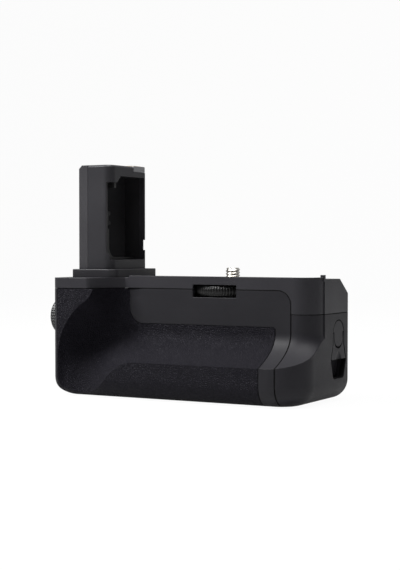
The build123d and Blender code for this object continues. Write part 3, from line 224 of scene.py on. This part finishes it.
fine_grain = 0.00022
coarse_grain = 0.0007
smear_width = 0.02
grain_strength = 0.6
smear_tones = (0.3, 0.75)
grain_tones = (0.7, 1.3)
smear_spread = (0.3, 0.7)
smear_polish = 0.05
smear_dulling = 0.06
edge_round = 0.00045
edge_samples = 6
mould_grain, grain_in, grain_out = node_group(
    "mould_grain",
    [("Position", "NodeSocketVector", None)],
    [("Height", "NodeSocketFloat"), ("Smear", "NodeSocketFloat")],
)
fine = noise(mould_grain, grain_in.outputs["Position"], fine_grain, 3)
coarse = noise(mould_grain, grain_in.outputs["Position"], coarse_grain, 2)
smear = noise(mould_grain, grain_in.outputs["Position"], smear_width, 4)
mould_grain.links.new(combine(mould_grain, "ADD", fine, coarse), grain_out.inputs["Height"])
mould_grain.links.new(smear, grain_out.inputs["Smear"])


def placed_group(tree, group):
    """A node group set into a material, reading the object's own coordinates."""
    placed = tree.nodes.new("ShaderNodeGroup")
    placed.node_tree = group
    place = tree.nodes.new("ShaderNodeTexCoord")
    tree.links.new(place.outputs["Object"], placed.inputs["Position"])
    return placed


def grained(name, colour, light_colour, roughness, grain_height, gloss=0.3):
    """Plastic with the mould's grain: smears in colour and roughness, bump over rounded edges."""
    material, tree, shader = new_material(name, colour, roughness, gloss)
    grain = placed_group(tree, mould_grain)
    tone = tree.nodes.new("ShaderNodeMix")
    tone.data_type = "RGBA"
    tone.inputs["A"].default_value = (*colour, 1)
    tone.inputs["B"].default_value = (*light_colour, 1)
    blotch = ranged(tree, grain.outputs["Smear"], 0, 0.5, *smear_tones)
    speck = ranged(tree, grain.outputs["Height"], 0, 0.5, *grain_tones)
    tree.links.new(combine(tree, "ADD", blotch, speck), tone.inputs["Factor"])
    tree.links.new(tone.outputs["Result"], shader.inputs["Base Color"])
    smooth, dull = roughness - smear_polish, roughness + smear_dulling
    rubbed = ranged(tree, grain.outputs["Smear"], smooth, dull, *smear_spread)
    tree.links.new(rubbed, shader.inputs["Roughness"])
    bump = tree.nodes.new("ShaderNodeBump")
    bump.inputs["Distance"].default_value = grain_height
    bump.inputs["Strength"].default_value = grain_strength
    tree.links.new(grain.outputs["Height"], bump.inputs["Height"])
    soft_edge = tree.nodes.new("ShaderNodeBevel")
    soft_edge.samples = edge_samples
    soft_edge.inputs["Radius"].default_value = edge_round
    tree.links.new(soft_edge.outputs["Normal"], bump.inputs["Normal"])
    tree.links.new(bump.outputs["Normal"], shader.inputs["Normal"])
    return material


def finish_nodes(material, *names):
    """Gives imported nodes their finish."""
    for name in names:
        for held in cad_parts[name].material_slots:
            held.material = material


cap_dark = (0.0090, 0.0086, 0.0106)
cap_light = (0.0120, 0.0115, 0.0137)
cover_dark = (0.0070, 0.0067, 0.0084)
cover_light = (0.0092, 0.0088, 0.0108)
cover_grain = 0.00004
top_nylon = grained(
    "cover_nylon", (0.0115, 0.0110, 0.0135), (0.0150, 0.0144, 0.0172),
    roughness=0.46, grain_height=cover_grain, gloss=0.17,
)
cap_nylon = grained(
    "cap_nylon", cap_dark, cap_light, roughness=0.5, grain_height=cover_grain, gloss=0.105
)
front_nylon = grained(
    "front_nylon", cover_dark, cover_light, roughness=0.48, grain_height=cover_grain, gloss=0.13
)
rear_nylon = grained(
    "rear_nylon", cover_dark, cover_light, roughness=0.48, grain_height=cover_grain, gloss=0.13
)
finish_nodes(top_nylon, "top_cover")
finish_nodes(cap_nylon, "tray_cap")
finish_nodes(front_nylon, "front_cover")
finish_nodes(rear_nylon, "rear_cover")

# Seam of the front cover: it runs along the panel's top, round a corner and down the cap's side.
# Both edges of each seam are in shadow for a fraction of a millimetre.
# Colour and roughness of the painted shade along seams, in recesses and round the key and disc.
painted_shade_colour = (0.0012, 0.0012, 0.0014, 1)
painted_shade_roughness = 0.9
seam_corner = 0.0060
seam_half_gap = 0.0001
top_seam_shade = 0.0003
cap_seam_shade = 0.0004
front_seam_shade = 0.0002
shade_above_cap = 0.0003
shade_on_cap = 0.0001
front_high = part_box("front_cover")[1]
cap_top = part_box("tray_cap")[1].z
seam_centre = (front_high.x + seam_half_gap - seam_corner, 0, front_high.z - seam_corner)


def combine_vectors(tree, operation, a, b=None):
    """Two vectors, or a vector and plain numbers, put together by a Vector Math node."""
    made = tree.nodes.new("ShaderNodeVectorMath")
    made.operation = operation
    for socket, item in zip(made.inputs, (a, b)):
        if isinstance(item, tuple):
            socket.default_value = item
        elif item is not None:
            tree.links.new(item, socket)
    return made.outputs["Value" if operation == "LENGTH" else "Vector"]


def object_axes(tree):
    """The object's own coordinates, one socket for each axis."""
    place = tree.nodes.new("ShaderNodeTexCoord")
    axes = tree.nodes.new("ShaderNodeSeparateXYZ")
    tree.links.new(place.outputs["Object"], axes.inputs[0])
    return axes.outputs


# The seam's distance in x and z from its corner's centre, each counted only beyond that centre, so
# that lines of equal distance run straight, round the corner and straight again.
seam_distance, seam_in, seam_out = node_group(
    "seam_distance",
    [("Position", "NodeSocketVector", None), ("Centre", "NodeSocketVector", None)],
    [("Distance", "NodeSocketFloat")],
)
past_centre = combine_vectors(
    seam_distance, "SUBTRACT", seam_in.outputs["Position"], seam_in.outputs["Centre"]
)
only_beyond = combine_vectors(seam_distance, "MAXIMUM", past_centre, (0, 0, 0))
in_the_face = combine_vectors(seam_distance, "MULTIPLY", only_beyond, (1, 0, 1))
reached = combine_vectors(seam_distance, "LENGTH", in_the_face)
seam_distance.links.new(reached, seam_out.inputs["Distance"])

# Painted shade: a dark colour and a dull roughness laid over a colour and a roughness where a mask
# is 1, for gaps, recesses and edges that the light doesn't reach.
painted_shade_group, shade_group_in, shade_group_out = node_group(
    "painted_shade_group",
    [
        ("Mask", "NodeSocketFloat", 0.0),
        ("Color", "NodeSocketColor", None),
        ("Roughness", "NodeSocketFloat", None),
        ("Dull Color", "NodeSocketColor", None),
        ("Dull Roughness", "NodeSocketFloat", painted_shade_roughness),
    ],
    [("Color", "NodeSocketColor"), ("Roughness", "NodeSocketFloat")],
)
for channel, kind in (("Color", "RGBA"), ("Roughness", "FLOAT")):
    change = painted_shade_group.nodes.new("ShaderNodeMix")
    change.data_type = kind
    painted_shade_group.links.new(shade_group_in.outputs["Mask"], change.inputs["Factor"])
    painted_shade_group.links.new(shade_group_in.outputs[channel], change.inputs["A"])
    painted_shade_group.links.new(shade_group_in.outputs["Dull " + channel], change.inputs["B"])
    painted_shade_group.links.new(change.outputs["Result"], shade_group_out.inputs[channel])


def paint_shade_where(material, mask, colour):
    """The material's colour and roughness changed to the dark, dull painted shade where the mask is 1.
    """
    tree = material.node_tree
    shader = tree.nodes["Principled BSDF"]
    placed = tree.nodes.new("ShaderNodeGroup")
    placed.node_tree = painted_shade_group
    placed.inputs["Dull Color"].default_value = colour
    tree.links.new(mask, placed.inputs["Mask"])
    for socket_name, channel in (("Base Color", "Color"), ("Roughness", "Roughness")):
        tree.links.new(shader.inputs[socket_name].links[0].from_socket, placed.inputs[channel])
        tree.links.new(placed.outputs[channel], shader.inputs[socket_name])


for material, side, edge in (
    (top_nylon, "LESS_THAN", seam_corner + top_seam_shade),
    (cap_nylon, "LESS_THAN", seam_corner + cap_seam_shade),
    (front_nylon, "GREATER_THAN", seam_corner - front_seam_shade),
):
    tree = material.node_tree
    seam = placed_group(tree, seam_distance)
    seam.inputs["Centre"].default_value = seam_centre
    paint_shade_where(material, combine(tree, side, seam.outputs["Distance"], edge), painted_shade_colour)
for material, side, edge in (
    (top_nylon, "LESS_THAN", cap_top + shade_above_cap),
    (cap_nylon, "GREATER_THAN", cap_top - shade_on_cap),
):
    tree = material.node_tree
    paint_shade_where(material, combine(tree, side, object_axes(tree)["Z"], edge), painted_shade_colour)

# The key's recess in the tray's end is left rough by the tool and lies in shadow, so it is painted
# dark as shade; it is found as a box round the key's own one.
key_low, key_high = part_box("lock_lever")
recess_edge = 0.0009
recess_reach = 0.0080
recess_lip = 0.0001
inside_box, box_in, box_out = node_group(
    "inside_box",
    [(corner, "NodeSocketVector", None) for corner in ("Position", "Low Corner", "High Corner")],
    [("Mask", "NodeSocketFloat")],
)
box_axes = []
for corner in ("Position", "Low Corner", "High Corner"):
    split = inside_box.nodes.new("ShaderNodeSeparateXYZ")
    inside_box.links.new(box_in.outputs[corner], split.inputs[0])
    box_axes.append(split.outputs)
inside = 1.0
for axis in "XYZ":
    here, lowest, highest = (outputs[axis] for outputs in box_axes)
    inside = combine(inside_box, "MULTIPLY", combine(inside_box, "GREATER_THAN", here, lowest), inside)
    inside = combine(inside_box, "MULTIPLY", combine(inside_box, "LESS_THAN", here, highest), inside)
inside_box.links.new(inside, box_out.inputs["Mask"])


def paint_shade_in_box(material, low, high, colour):
    """The material's dark, dull painted shade inside a box of the object's own coordinates."""
    placed = placed_group(material.node_tree, inside_box)
    placed.inputs["Low Corner"].default_value = low
    placed.inputs["High Corner"].default_value = high
    paint_shade_where(material, placed.outputs["Mask"], colour)


paint_shade_in_box(
    cap_nylon,
    key_low - Vector((recess_edge, recess_edge, recess_reach)),
    key_high + Vector((-recess_lip, recess_edge, recess_reach)),
    painted_shade_colour,
)

# Tower and its plinth: the same nylon from a finer tool, a little smoother where it slides into
# the camera; the contact block on its top is natural, pale grey.
tower_grain = 0.00003
smooth_grain = 0.00002
tower_nylon = grained(
    "tower_nylon", (0.0175, 0.0169, 0.0192), (0.0220, 0.0213, 0.0240),
    roughness=0.42, grain_height=tower_grain, gloss=0.28,
)
finish_nodes(tower_nylon, "tower_cover")
shell_nylon = grained(
    "tower_shell_nylon", (0.0110, 0.0106, 0.0126), (0.0145, 0.0140, 0.0165),
    roughness=0.44, grain_height=tower_grain, gloss=0.2,
)
finish_nodes(shell_nylon, "tower_shell", "tower_base")
block_plastic = grained(
    "contact_block_plastic", (0.10, 0.10, 0.105), (0.13, 0.13, 0.135),
    roughness=0.45, grain_height=smooth_grain,
)
finish_nodes(block_plastic, "contact_block")

# The pocket's inside comes from a rougher core of the same tool, so it is duller, and it is painted
# darker as shade; it is found as the shell's own box less the walls round the pocket and the depth
# of its front edge.
shell_low, shell_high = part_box("tower_shell")
pocket_shade_colour = (0.0065, 0.0062, 0.0072, 1)
low_walls = Vector((0.0014, 0.0012, 0.0042))
high_walls = Vector((0.0027, 0.0005, 0.0046))
paint_shade_in_box(shell_nylon, shell_low + low_walls, shell_high - high_walls, pocket_shade_colour)
pocket_nylon = grained(
    "pocket_nylon", (0.0030, 0.0030, 0.0032), (0.0045, 0.0045, 0.0048),
    roughness=0.5, grain_height=tower_grain,
)
finish_nodes(pocket_nylon, "pocket_frame", "battery_chamber", "tray_frame", "door_hook")

# Latch in the tower's pocket that parks the camera's own battery door: a sprung hook moulded in
# black nylon, set on the pocket's floor just above the frame's rib, with a round bite in its side.
rib_low, rib_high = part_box("pocket_frame")
latch_gap = 0.0002
latch_lift = 0.0017
latch_size = Vector((0.0047, 0.0026, 0.0062))
latch_low = Vector((rib_low.x + latch_gap, rib_low.y + latch_gap, rib_high.z + latch_lift))
latch_high = latch_low + latch_size
latch_bite = 0.0016
bite_points = 15
latch_round = 0.0002


def latch_block():
    """Side view in y, z with a half circle cut from its rear edge, carried from floor to front.

    Bite: y = rear - r sin(a), z = middle - r cos(a), a from 0 to pi.
    """
    turn = np.linspace(0, np.pi, bite_points)
    middle = (latch_low.z + latch_high.z) / 2
    bite_y = latch_high.y - latch_bite * np.sin(turn)
    bite = np.stack([bite_y, middle - latch_bite * np.cos(turn)], axis=1)
    corners = np.array([[latch_high.y, latch_high.z], [latch_low.y, latch_high.z]])
    feet = np.array([[latch_low.y, latch_low.z], [latch_high.y, latch_low.z]])
    outline = np.concatenate([feet, bite, corners])
    count = len(outline)
    front = np.column_stack([np.full(count, latch_high.x), outline])
    back = np.column_stack([np.full(count, latch_low.x), outline])
    here = np.arange(count)
    following = (here + 1) % count
    walls = np.stack([here, here + count, following + count, following], axis=1)
    faces = [here.tolist(), (here[::-1] + count).tolist()] + walls.tolist()
    return np.concatenate([front, back]), faces


latch = new_mesh("door_latch", *latch_block())
latch.data.polygons.foreach_set("use_smooth", np.zeros(len(latch.data.polygons), bool))
latch_bevel = latch.modifiers.new("soft_edges", "BEVEL")
latch_bevel.width = latch_round
latch_bevel.segments = 2
latch_nylon = grained(
    "latch_nylon", (0.0030, 0.0029, 0.0033), (0.0045, 0.0043, 0.0049),
    roughness=0.5, grain_height=smooth_grain, gloss=0.15,
)
latch.data.materials.append(latch_nylon)
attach(latch, "grip")

# Grip rubber: soft black rubber with a leather grain of small round pebbles, bonded into a
# recess over the bulge and the shoulder; the thumb rest on the back is cut from the same sheet.
pebble_size = 0.0008
pebble_depth = 0.00022
pebble_warp = 2.5 * pebble_size
shoulder_share = 0.28
valley_share = 0.12
pore_size = 0.00025
pore_height = 0.25
pebble_strength = 0.9
pebble_roughness = 0.5
valley_roughness = 0.72
rubber_shade_width = 0.00035
leather_grain, leather_in, leather_out = node_group(
    "leather_grain",
    [("Position", "NodeSocketVector", None)],
    [("Height", "NodeSocketFloat"), ("Valley", "NodeSocketFloat")],
)
warp = leather_grain.nodes.new("ShaderNodeTexNoise")
warp.inputs["Scale"].default_value = 1 / pebble_warp
leather_grain.links.new(leather_in.outputs["Position"], warp.inputs["Vector"])
shift = combine_vectors(leather_grain, "MULTIPLY", warp.outputs["Color"], (pebble_size,) * 3)
shifted = combine_vectors(leather_grain, "ADD", shift, leather_in.outputs["Position"])
pebbles = leather_grain.nodes.new("ShaderNodeTexVoronoi")
pebbles.feature = "DISTANCE_TO_EDGE"
pebbles.inputs["Scale"].default_value = 1 / pebble_size
leather_grain.links.new(shifted, pebbles.inputs["Vector"])
pebble_top = ranged(leather_grain, pebbles.outputs["Distance"], 0, 1, 0, shoulder_share)
pebble_valley = ranged(leather_grain, pebbles.outputs["Distance"], 1, 0, 0, valley_share)
pores = noise(leather_grain, leather_in.outputs["Position"], pore_size, 2)
pore_steps = combine(leather_grain, "MULTIPLY", pores, pore_height)
pebble_height = combine(leather_grain, "ADD", pebble_top, pore_steps)
leather_grain.links.new(pebble_height, leather_out.inputs["Height"])
leather_grain.links.new(pebble_valley, leather_out.inputs["Valley"])

leather_rubber, tree, shader = new_material(
    "leather_rubber", (0.004, 0.004, 0.0045), roughness=pebble_roughness, gloss=0.08
)
shader.inputs["Specular Tint"].default_value = (0.88, 0.86, 1.0, 1)
grain = placed_group(tree, leather_grain)
tone = tree.nodes.new("ShaderNodeMix")
tone.data_type = "RGBA"
tone.inputs["A"].default_value = (0.0038, 0.0034, 0.0052, 1)
tone.inputs["B"].default_value = (0.0020, 0.0020, 0.0023, 1)
tree.links.new(grain.outputs["Valley"], tone.inputs["Factor"])
tree.links.new(tone.outputs["Result"], shader.inputs["Base Color"])
rubber_wear = ranged(tree, grain.outputs["Valley"], pebble_roughness, valley_roughness)
tree.links.new(rubber_wear, shader.inputs["Roughness"])
bump = tree.nodes.new("ShaderNodeBump")
bump.inputs["Distance"].default_value = pebble_depth
bump.inputs["Strength"].default_value = pebble_strength
tree.links.new(grain.outputs["Height"], bump.inputs["Height"])
tree.links.new(bump.outputs["Normal"], shader.inputs["Normal"])
# The rubber's right end is painted dark as shade for a fraction of a millimetre, along its seam.
rubber_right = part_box("grip_rubber")[1].x - rubber_shade_width
rubber_shade_mask = combine(tree, "GREATER_THAN", object_axes(tree)["X"], rubber_right)
paint_shade_where(leather_rubber, rubber_shade_mask, painted_shade_colour)
finish_nodes(leather_rubber, "grip_rubber", "thumb_rubber")

# Metal inside and out: nickel plated steel for the attachment screw, its bush and washer, satin
# steel for chassis, shafts, pins and lock, blackened steel for the screws that hold the covers and
# the tray together, and gold plated contacts.
scratch_depth = 0.00001
scratch_polish = 0.08
scratch_dulling = 0.10
scratch_spread = (0.3, 0.7)


def metal(name, colour, roughness, scratch_size):
    """Metal with fine turning marks in its roughness and bump."""
    material, tree, shader = new_material(name, colour, roughness)
    shader.inputs["Metallic"].default_value = 1
    place = tree.nodes.new("ShaderNodeTexCoord")
    marks = noise(tree, place.outputs["Object"], scratch_size, 4)
    smooth, dull = roughness - scratch_polish, roughness + scratch_dulling
    worn = ranged(tree, marks, smooth, dull, *scratch_spread)
    tree.links.new(worn, shader.inputs["Roughness"])
    bump = tree.nodes.new("ShaderNodeBump")
    bump.inputs["Distance"].default_value = scratch_depth
    tree.links.new(marks, bump.inputs["Height"])
    tree.links.new(bump.outputs["Normal"], shader.inputs["Normal"])
    return material


screw_nickel = metal("screw_nickel", (0.62, 0.60, 0.56), roughness=0.25, scratch_size=0.0003)
finish_nodes(screw_nickel, "attachment_screw", "deck_bush", "thrust_washer")
satin_steel = metal("satin_steel", (0.50, 0.50, 0.50), roughness=0.38, scratch_size=0.0005)
finish_nodes(
    satin_steel, "lower_bush", "chassis_plate", "tripod_socket", "hinge_pin",
    "lock_bush", "lock_cam", "front_dial_shaft", "rear_dial_shaft", "dial_bracket",
)
black_steel = metal("black_steel", (0.035, 0.035, 0.038), roughness=0.36, scratch_size=0.0005)
finish_nodes(black_steel, "case_screws", "tray_screws")
contact_gold = metal("contact_gold", (0.80, 0.60, 0.26), roughness=0.28, scratch_size=0.0004)
finish_nodes(contact_gold, "contact_plates", "tray_contacts", "chamber_pins")

# Attachment screw: a steel stud turned on a lathe, with a 1/4 inch tripod thread cut above the
# deck, a plain shank below it and a bevelled top; it is pressed into the wheel that turns it.
thread_pitch = 0.00127
thread_depth = 0.00045
flank_slope = 1.5
crest_flat = 0.2
stud_low, stud_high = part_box("attachment_screw")
stud_radius = (stud_high.x - stud_low.x) / 2
shank_radius = 0.0029
shank_rise = 0.00005
shank_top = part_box("deck_bush")[1].z + shank_rise
stud_bevel = 0.0006
turn_steps = 60
rows_per_pitch = 14


def threaded_stud():
    """Radius = outer radius - depth x a triangle wave of (height / pitch - angle / full turn).

    The wave is cut flat at crest and root; near the top the radius also falls with the bevel.
    """
    rows = int((stud_high.z - stud_low.z) / thread_pitch * rows_per_pitch)
    height = np.linspace(stud_low.z, stud_high.z, rows)[:, None]
    angle = np.linspace(0, 2 * np.pi, turn_steps, endpoint=False)[None, :]
    phase = (height / thread_pitch - angle / (2 * np.pi)) % 1
    wave = np.clip(np.abs(2 * phase - 1) * flank_slope - crest_flat, 0, 1)
    radius = np.where(height > shank_top, stud_radius - thread_depth * wave, shank_radius)
    radius = np.minimum(radius, stud_radius - stud_bevel + (stud_high.z - height))
    points = np.stack([radius * np.cos(angle), radius * np.sin(angle), height + 0 * angle], axis=2)
    ring = points.reshape(-1, 3)
    ends = np.array([[0, 0, stud_low.z], [0, 0, stud_high.z]])
    around = np.arange(turn_steps)
    following = (around + 1) % turn_steps
    last = (rows - 1) * turn_steps
    low_centre = np.full(turn_steps, len(ring))
    low_fan = np.stack([following, around, low_centre], axis=1)
    high_fan = np.stack([last + around, last + following, low_centre + 1], axis=1)
    sides = grid_faces(rows, turn_steps, closed_columns=True)
    faces = sides.tolist() + low_fan.tolist() + high_fan.tolist()
    return np.concatenate([ring, ends]), faces


stud_points, stud_faces = threaded_stud()
stud = new_mesh("threaded_stud", stud_points, stud_faces)
stud.data.materials.append(screw_nickel)
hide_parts("attachment_screw")
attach(stud, "screw")

# Attachment wheel: hard black rubber moulded on a hub, its rim cut into upright ribs between two
# plain bevelled edges, so a fingertip in the slot can turn it.
wheel_low, wheel_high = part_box("attachment_wheel")
wheel_radius = (wheel_high.x - wheel_low.x) / 2
wheel_bore = shank_radius
rim_ribs = 84
rib_depth = 0.0006
steps_per_rib = 6
rim_rows = [
    (wheel_radius - wheel_bore, 0.0, 0), (wheel_radius / 2, 0.0, 0), (0.0012, 0.0, 0),
    (0.0007, 0.02, 0), (0.0005, 0.12, 0), (0.0003, 0.18, 1), (0.0, 0.25, 1), (0.0, 0.50, 1),
]


def ribbed_rim():
    """Profile turned round the screw's axis: inset from the rim, height share and rib share.

    The rows go from the bore up to mid height and are mirrored above it. Radius = rim radius -
    inset - rib share x depth x cos(angle x ribs / 2)^4, which leaves round ribs and narrow valleys.
    """
    lower = np.array(rim_rows)
    upper = lower[-2::-1] * [1, -1, 1] + [0, 1, 0]
    profile = np.concatenate([lower, upper])
    angle = np.linspace(0, 2 * np.pi, rim_ribs * steps_per_rib, endpoint=False)
    valley = np.cos(angle * rim_ribs / 2) ** 4
    radius = wheel_radius - profile[:, :1] - profile[:, 2:] * rib_depth * valley[None, :]
    height = wheel_low.z + (wheel_high.z - wheel_low.z) * profile[:, 1:2] + 0 * angle[None, :]
    points = np.stack([radius * np.cos(angle), radius * np.sin(angle), height], axis=2)
    faces = grid_faces(len(profile), len(angle), closed_rows=True, closed_columns=True)
    return points.reshape(-1, 3), faces


wheel = new_mesh("ribbed_wheel", *ribbed_rim())
wheel_rubber = grained(
    "wheel_rubber", (0.004, 0.004, 0.004), (0.007, 0.007, 0.007),
    roughness=0.36, grain_height=smooth_grain, gloss=0.2,
)
wheel.data.materials.append(wheel_rubber)
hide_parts("attachment_wheel")
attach(wheel, "screw")

# Lock key in the tray's end: a flat moulded plate hinged on a steel pin across its top, with a
# round hole for the disc's tongue and a scooped thumbnail cut in its lower edge.
disc_low, disc_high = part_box("lock_disc")
key_y = (key_low.y + key_high.y) / 2
disc_z = disc_high.z - (disc_high.y - disc_low.y) / 2
key_inset = 0.0003
barrel_half = 0.00605
key_top_half = barrel_half - key_inset
key_low_half = (key_high.y - key_low.y) / 2 - key_inset
key_waist = -0.0047
key_foot = key_low.z - disc_z + key_inset
hole_radius = 0.0048
hole_drop = 0.0014
barrel_top = 0.00055
key_round = 0.00035
key_shade = 0.0003
scoop_top = 0.0038
scoop_half = 0.0032
scoop_depth = 0.0011
scoop_least = 0.000001
rim_share = 0.80
rim_columns = 8
face_columns = 60
column_share = 0.005
key_rows = 44


def key_plate():
    """Plate between a foot line and a top line that dips round the hole: z = foot + v (top - foot).

    Its half width h(z) is constant above the waist and grows linearly to the foot. The face stands
    at the box's outer side less a quarter-round rim and less the scoop, which is part of a cone that
    opens downwards: depth x s x sqrt(1 - (y / w)^2), where s is the share of the way from the cone's
    tip down to the foot and w = sqrt(s) x the scoop's half width. Besides points and faces it gives
    1 for each point near the plate's edge and 0 for the others.
    """
    side = np.linspace(rim_share, 1, rim_columns)
    middle = np.linspace(column_share - rim_share, rim_share - column_share, face_columns)
    u = np.concatenate([-side[::-1], middle, side])
    v = 0.5 - 0.5 * np.cos(np.linspace(0, np.pi, key_rows))[:, None]
    across = np.abs(u) * key_top_half
    dip = -hole_drop - np.sqrt(np.clip(hole_radius**2 - across**2, 0, None))
    top = np.where(across < hole_radius, dip, barrel_top)[None, :]
    z = key_foot + v * (top - key_foot)
    widening = np.clip((key_waist - z) / (key_waist - key_foot), 0, 1)
    half = key_top_half + (key_low_half - key_top_half) * widening
    y = u[None, :] * half
    edge = np.minimum(np.minimum(half - np.abs(y), z - key_foot), top - z)
    rim = key_round - np.sqrt(key_round**2 - np.clip(key_round - edge, 0, key_round) ** 2)
    share = np.clip((key_foot + scoop_top - z) / scoop_top, 0, 1)
    width = np.maximum(np.sqrt(share) * scoop_half, scoop_least)
    scoop = scoop_depth * share * np.sqrt(np.clip(1 - (y / width) ** 2, 0, 1))
    front = np.stack([key_high.x - rim - scoop, key_y + y, disc_z + z], axis=2)
    back = np.stack([key_low.x + 0 * y, key_y + y, disc_z + z], axis=2)
    rows, columns = y.shape
    index = np.arange(rows * columns).reshape(rows, columns)
    rim_index = np.concatenate([index[0, :-1], index[:-1, -1], index[-1, :0:-1], index[:0:-1, 0]])
    following = np.roll(rim_index, -1)
    shift = rows * columns
    walls = np.stack([rim_index, rim_index + shift, following + shift, following], axis=1)
    face = grid_faces(rows, columns)
    faces = np.concatenate([face, face[:, ::-1] + shift, walls])
    points = np.concatenate([front.reshape(-1, 3), back.reshape(-1, 3)])
    # 1 where the key's edge is painted dark as shade, 0 elsewhere.
    edge_shade_mask = (edge < key_shade).astype(float).ravel()
    return points, faces, np.tile(edge_shade_mask, 2)


key_points, key_faces, key_shade_mask = key_plate()
key = new_mesh("scooped_key", key_points, key_faces)
key.data.attributes.new("rim", "FLOAT", "POINT").data.foreach_set("value", key_shade_mask)
key_nylon = grained(
    "key_nylon", cap_dark, cap_light, roughness=0.48, grain_height=smooth_grain, gloss=0.11
)
# The key's edge is painted dark as shade where it meets the cap's recess.
rim = key_nylon.node_tree.nodes.new("ShaderNodeAttribute")
rim.attribute_name = "rim"
paint_shade_where(key_nylon, rim.outputs["Fac"], painted_shade_colour)
key.data.materials.append(key_nylon)
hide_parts("lock_lever")
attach(key, "lock_key")

# Lock disc: a round cap with a tongue in the same black nylon, its broken edge dark with shadow
# where it meets the key and the tray's end.
disc_nylon = grained(
    "disc_nylon", cap_dark, cap_light, roughness=0.48, grain_height=smooth_grain, gloss=0.11
)
disc_radius = (disc_high.y - disc_low.y) / 2
disc_y = (disc_low.y + disc_high.y) / 2
disc_shade = 0.00045
tongue_radius = disc_z - hole_drop - disc_low.z
tree = disc_nylon.node_tree
place = tree.nodes.new("ShaderNodeTexCoord")
past_edge = 1.0
for centre_z, radius in ((disc_z, disc_radius), (disc_z - hole_drop, tongue_radius)):
    offset = combine_vectors(tree, "SUBTRACT", place.outputs["Object"], (disc_high.x, disc_y, centre_z))
    in_the_face = combine_vectors(tree, "MULTIPLY", offset, (0, 1, 1))
    distance = combine_vectors(tree, "LENGTH", in_the_face)
    outside = combine(tree, "GREATER_THAN", distance, radius - disc_shade)
    past_edge = combine(tree, "MULTIPLY", outside, past_edge)
paint_shade_where(disc_nylon, past_edge, painted_shade_colour)
finish_nodes(disc_nylon, "lock_disc")

# Controls: dials, power ring and focus lever moulded in smoother black plastic, buttons with a
# polished face, and the two sprung catches that hold the cells, moulded in orange to be found.
polished_grain = 0.00001
control_plastic = grained(
    "control_plastic", (0.006, 0.006, 0.0065), (0.009, 0.009, 0.0095),
    roughness=0.4, grain_height=smooth_grain,
)
finish_nodes(control_plastic, "front_dial", "rear_dial", "power_ring", "focus_lever")
button_plastic = grained(
    "button_plastic", (0.005, 0.005, 0.0055), (0.008, 0.008, 0.0085),
    roughness=0.3, grain_height=polished_grain,
)
finish_nodes(button_plastic, "shutter_button", "focus_button", "custom_button")
catch_plastic = grained(
    "catch_plastic", (0.60, 0.22, 0.03), (0.68, 0.27, 0.05), roughness=0.45, grain_height=smooth_grain
)
finish_nodes(catch_plastic, "cell_catch_1", "cell_catch_2")

# Boards: glass fibre sheets under green lacquer, with chips cast in black resin, an amber film
# ribbon that runs up the tower and a grey silicone mat under the buttons.
for board_finish, dark, light, roughness, grain_height, names in (
    ("board_lacquer", (0.012, 0.11, 0.04), (0.016, 0.14, 0.05), 0.3, polished_grain,
     ("main_board", "switch_board", "button_board")),
    ("chip_resin", (0.012, 0.012, 0.012), (0.02, 0.02, 0.02), 0.5, polished_grain, ("board_chips",)),
    ("ribbon_film", (0.35, 0.15, 0.02), (0.42, 0.19, 0.03), 0.3, polished_grain, ("tower_flex",)),
    ("mat_silicone", (0.30, 0.30, 0.30), (0.36, 0.36, 0.36), 0.6, smooth_grain, ("button_mat",)),
):
    finish_nodes(grained(board_finish, dark, light, roughness, grain_height), *names)
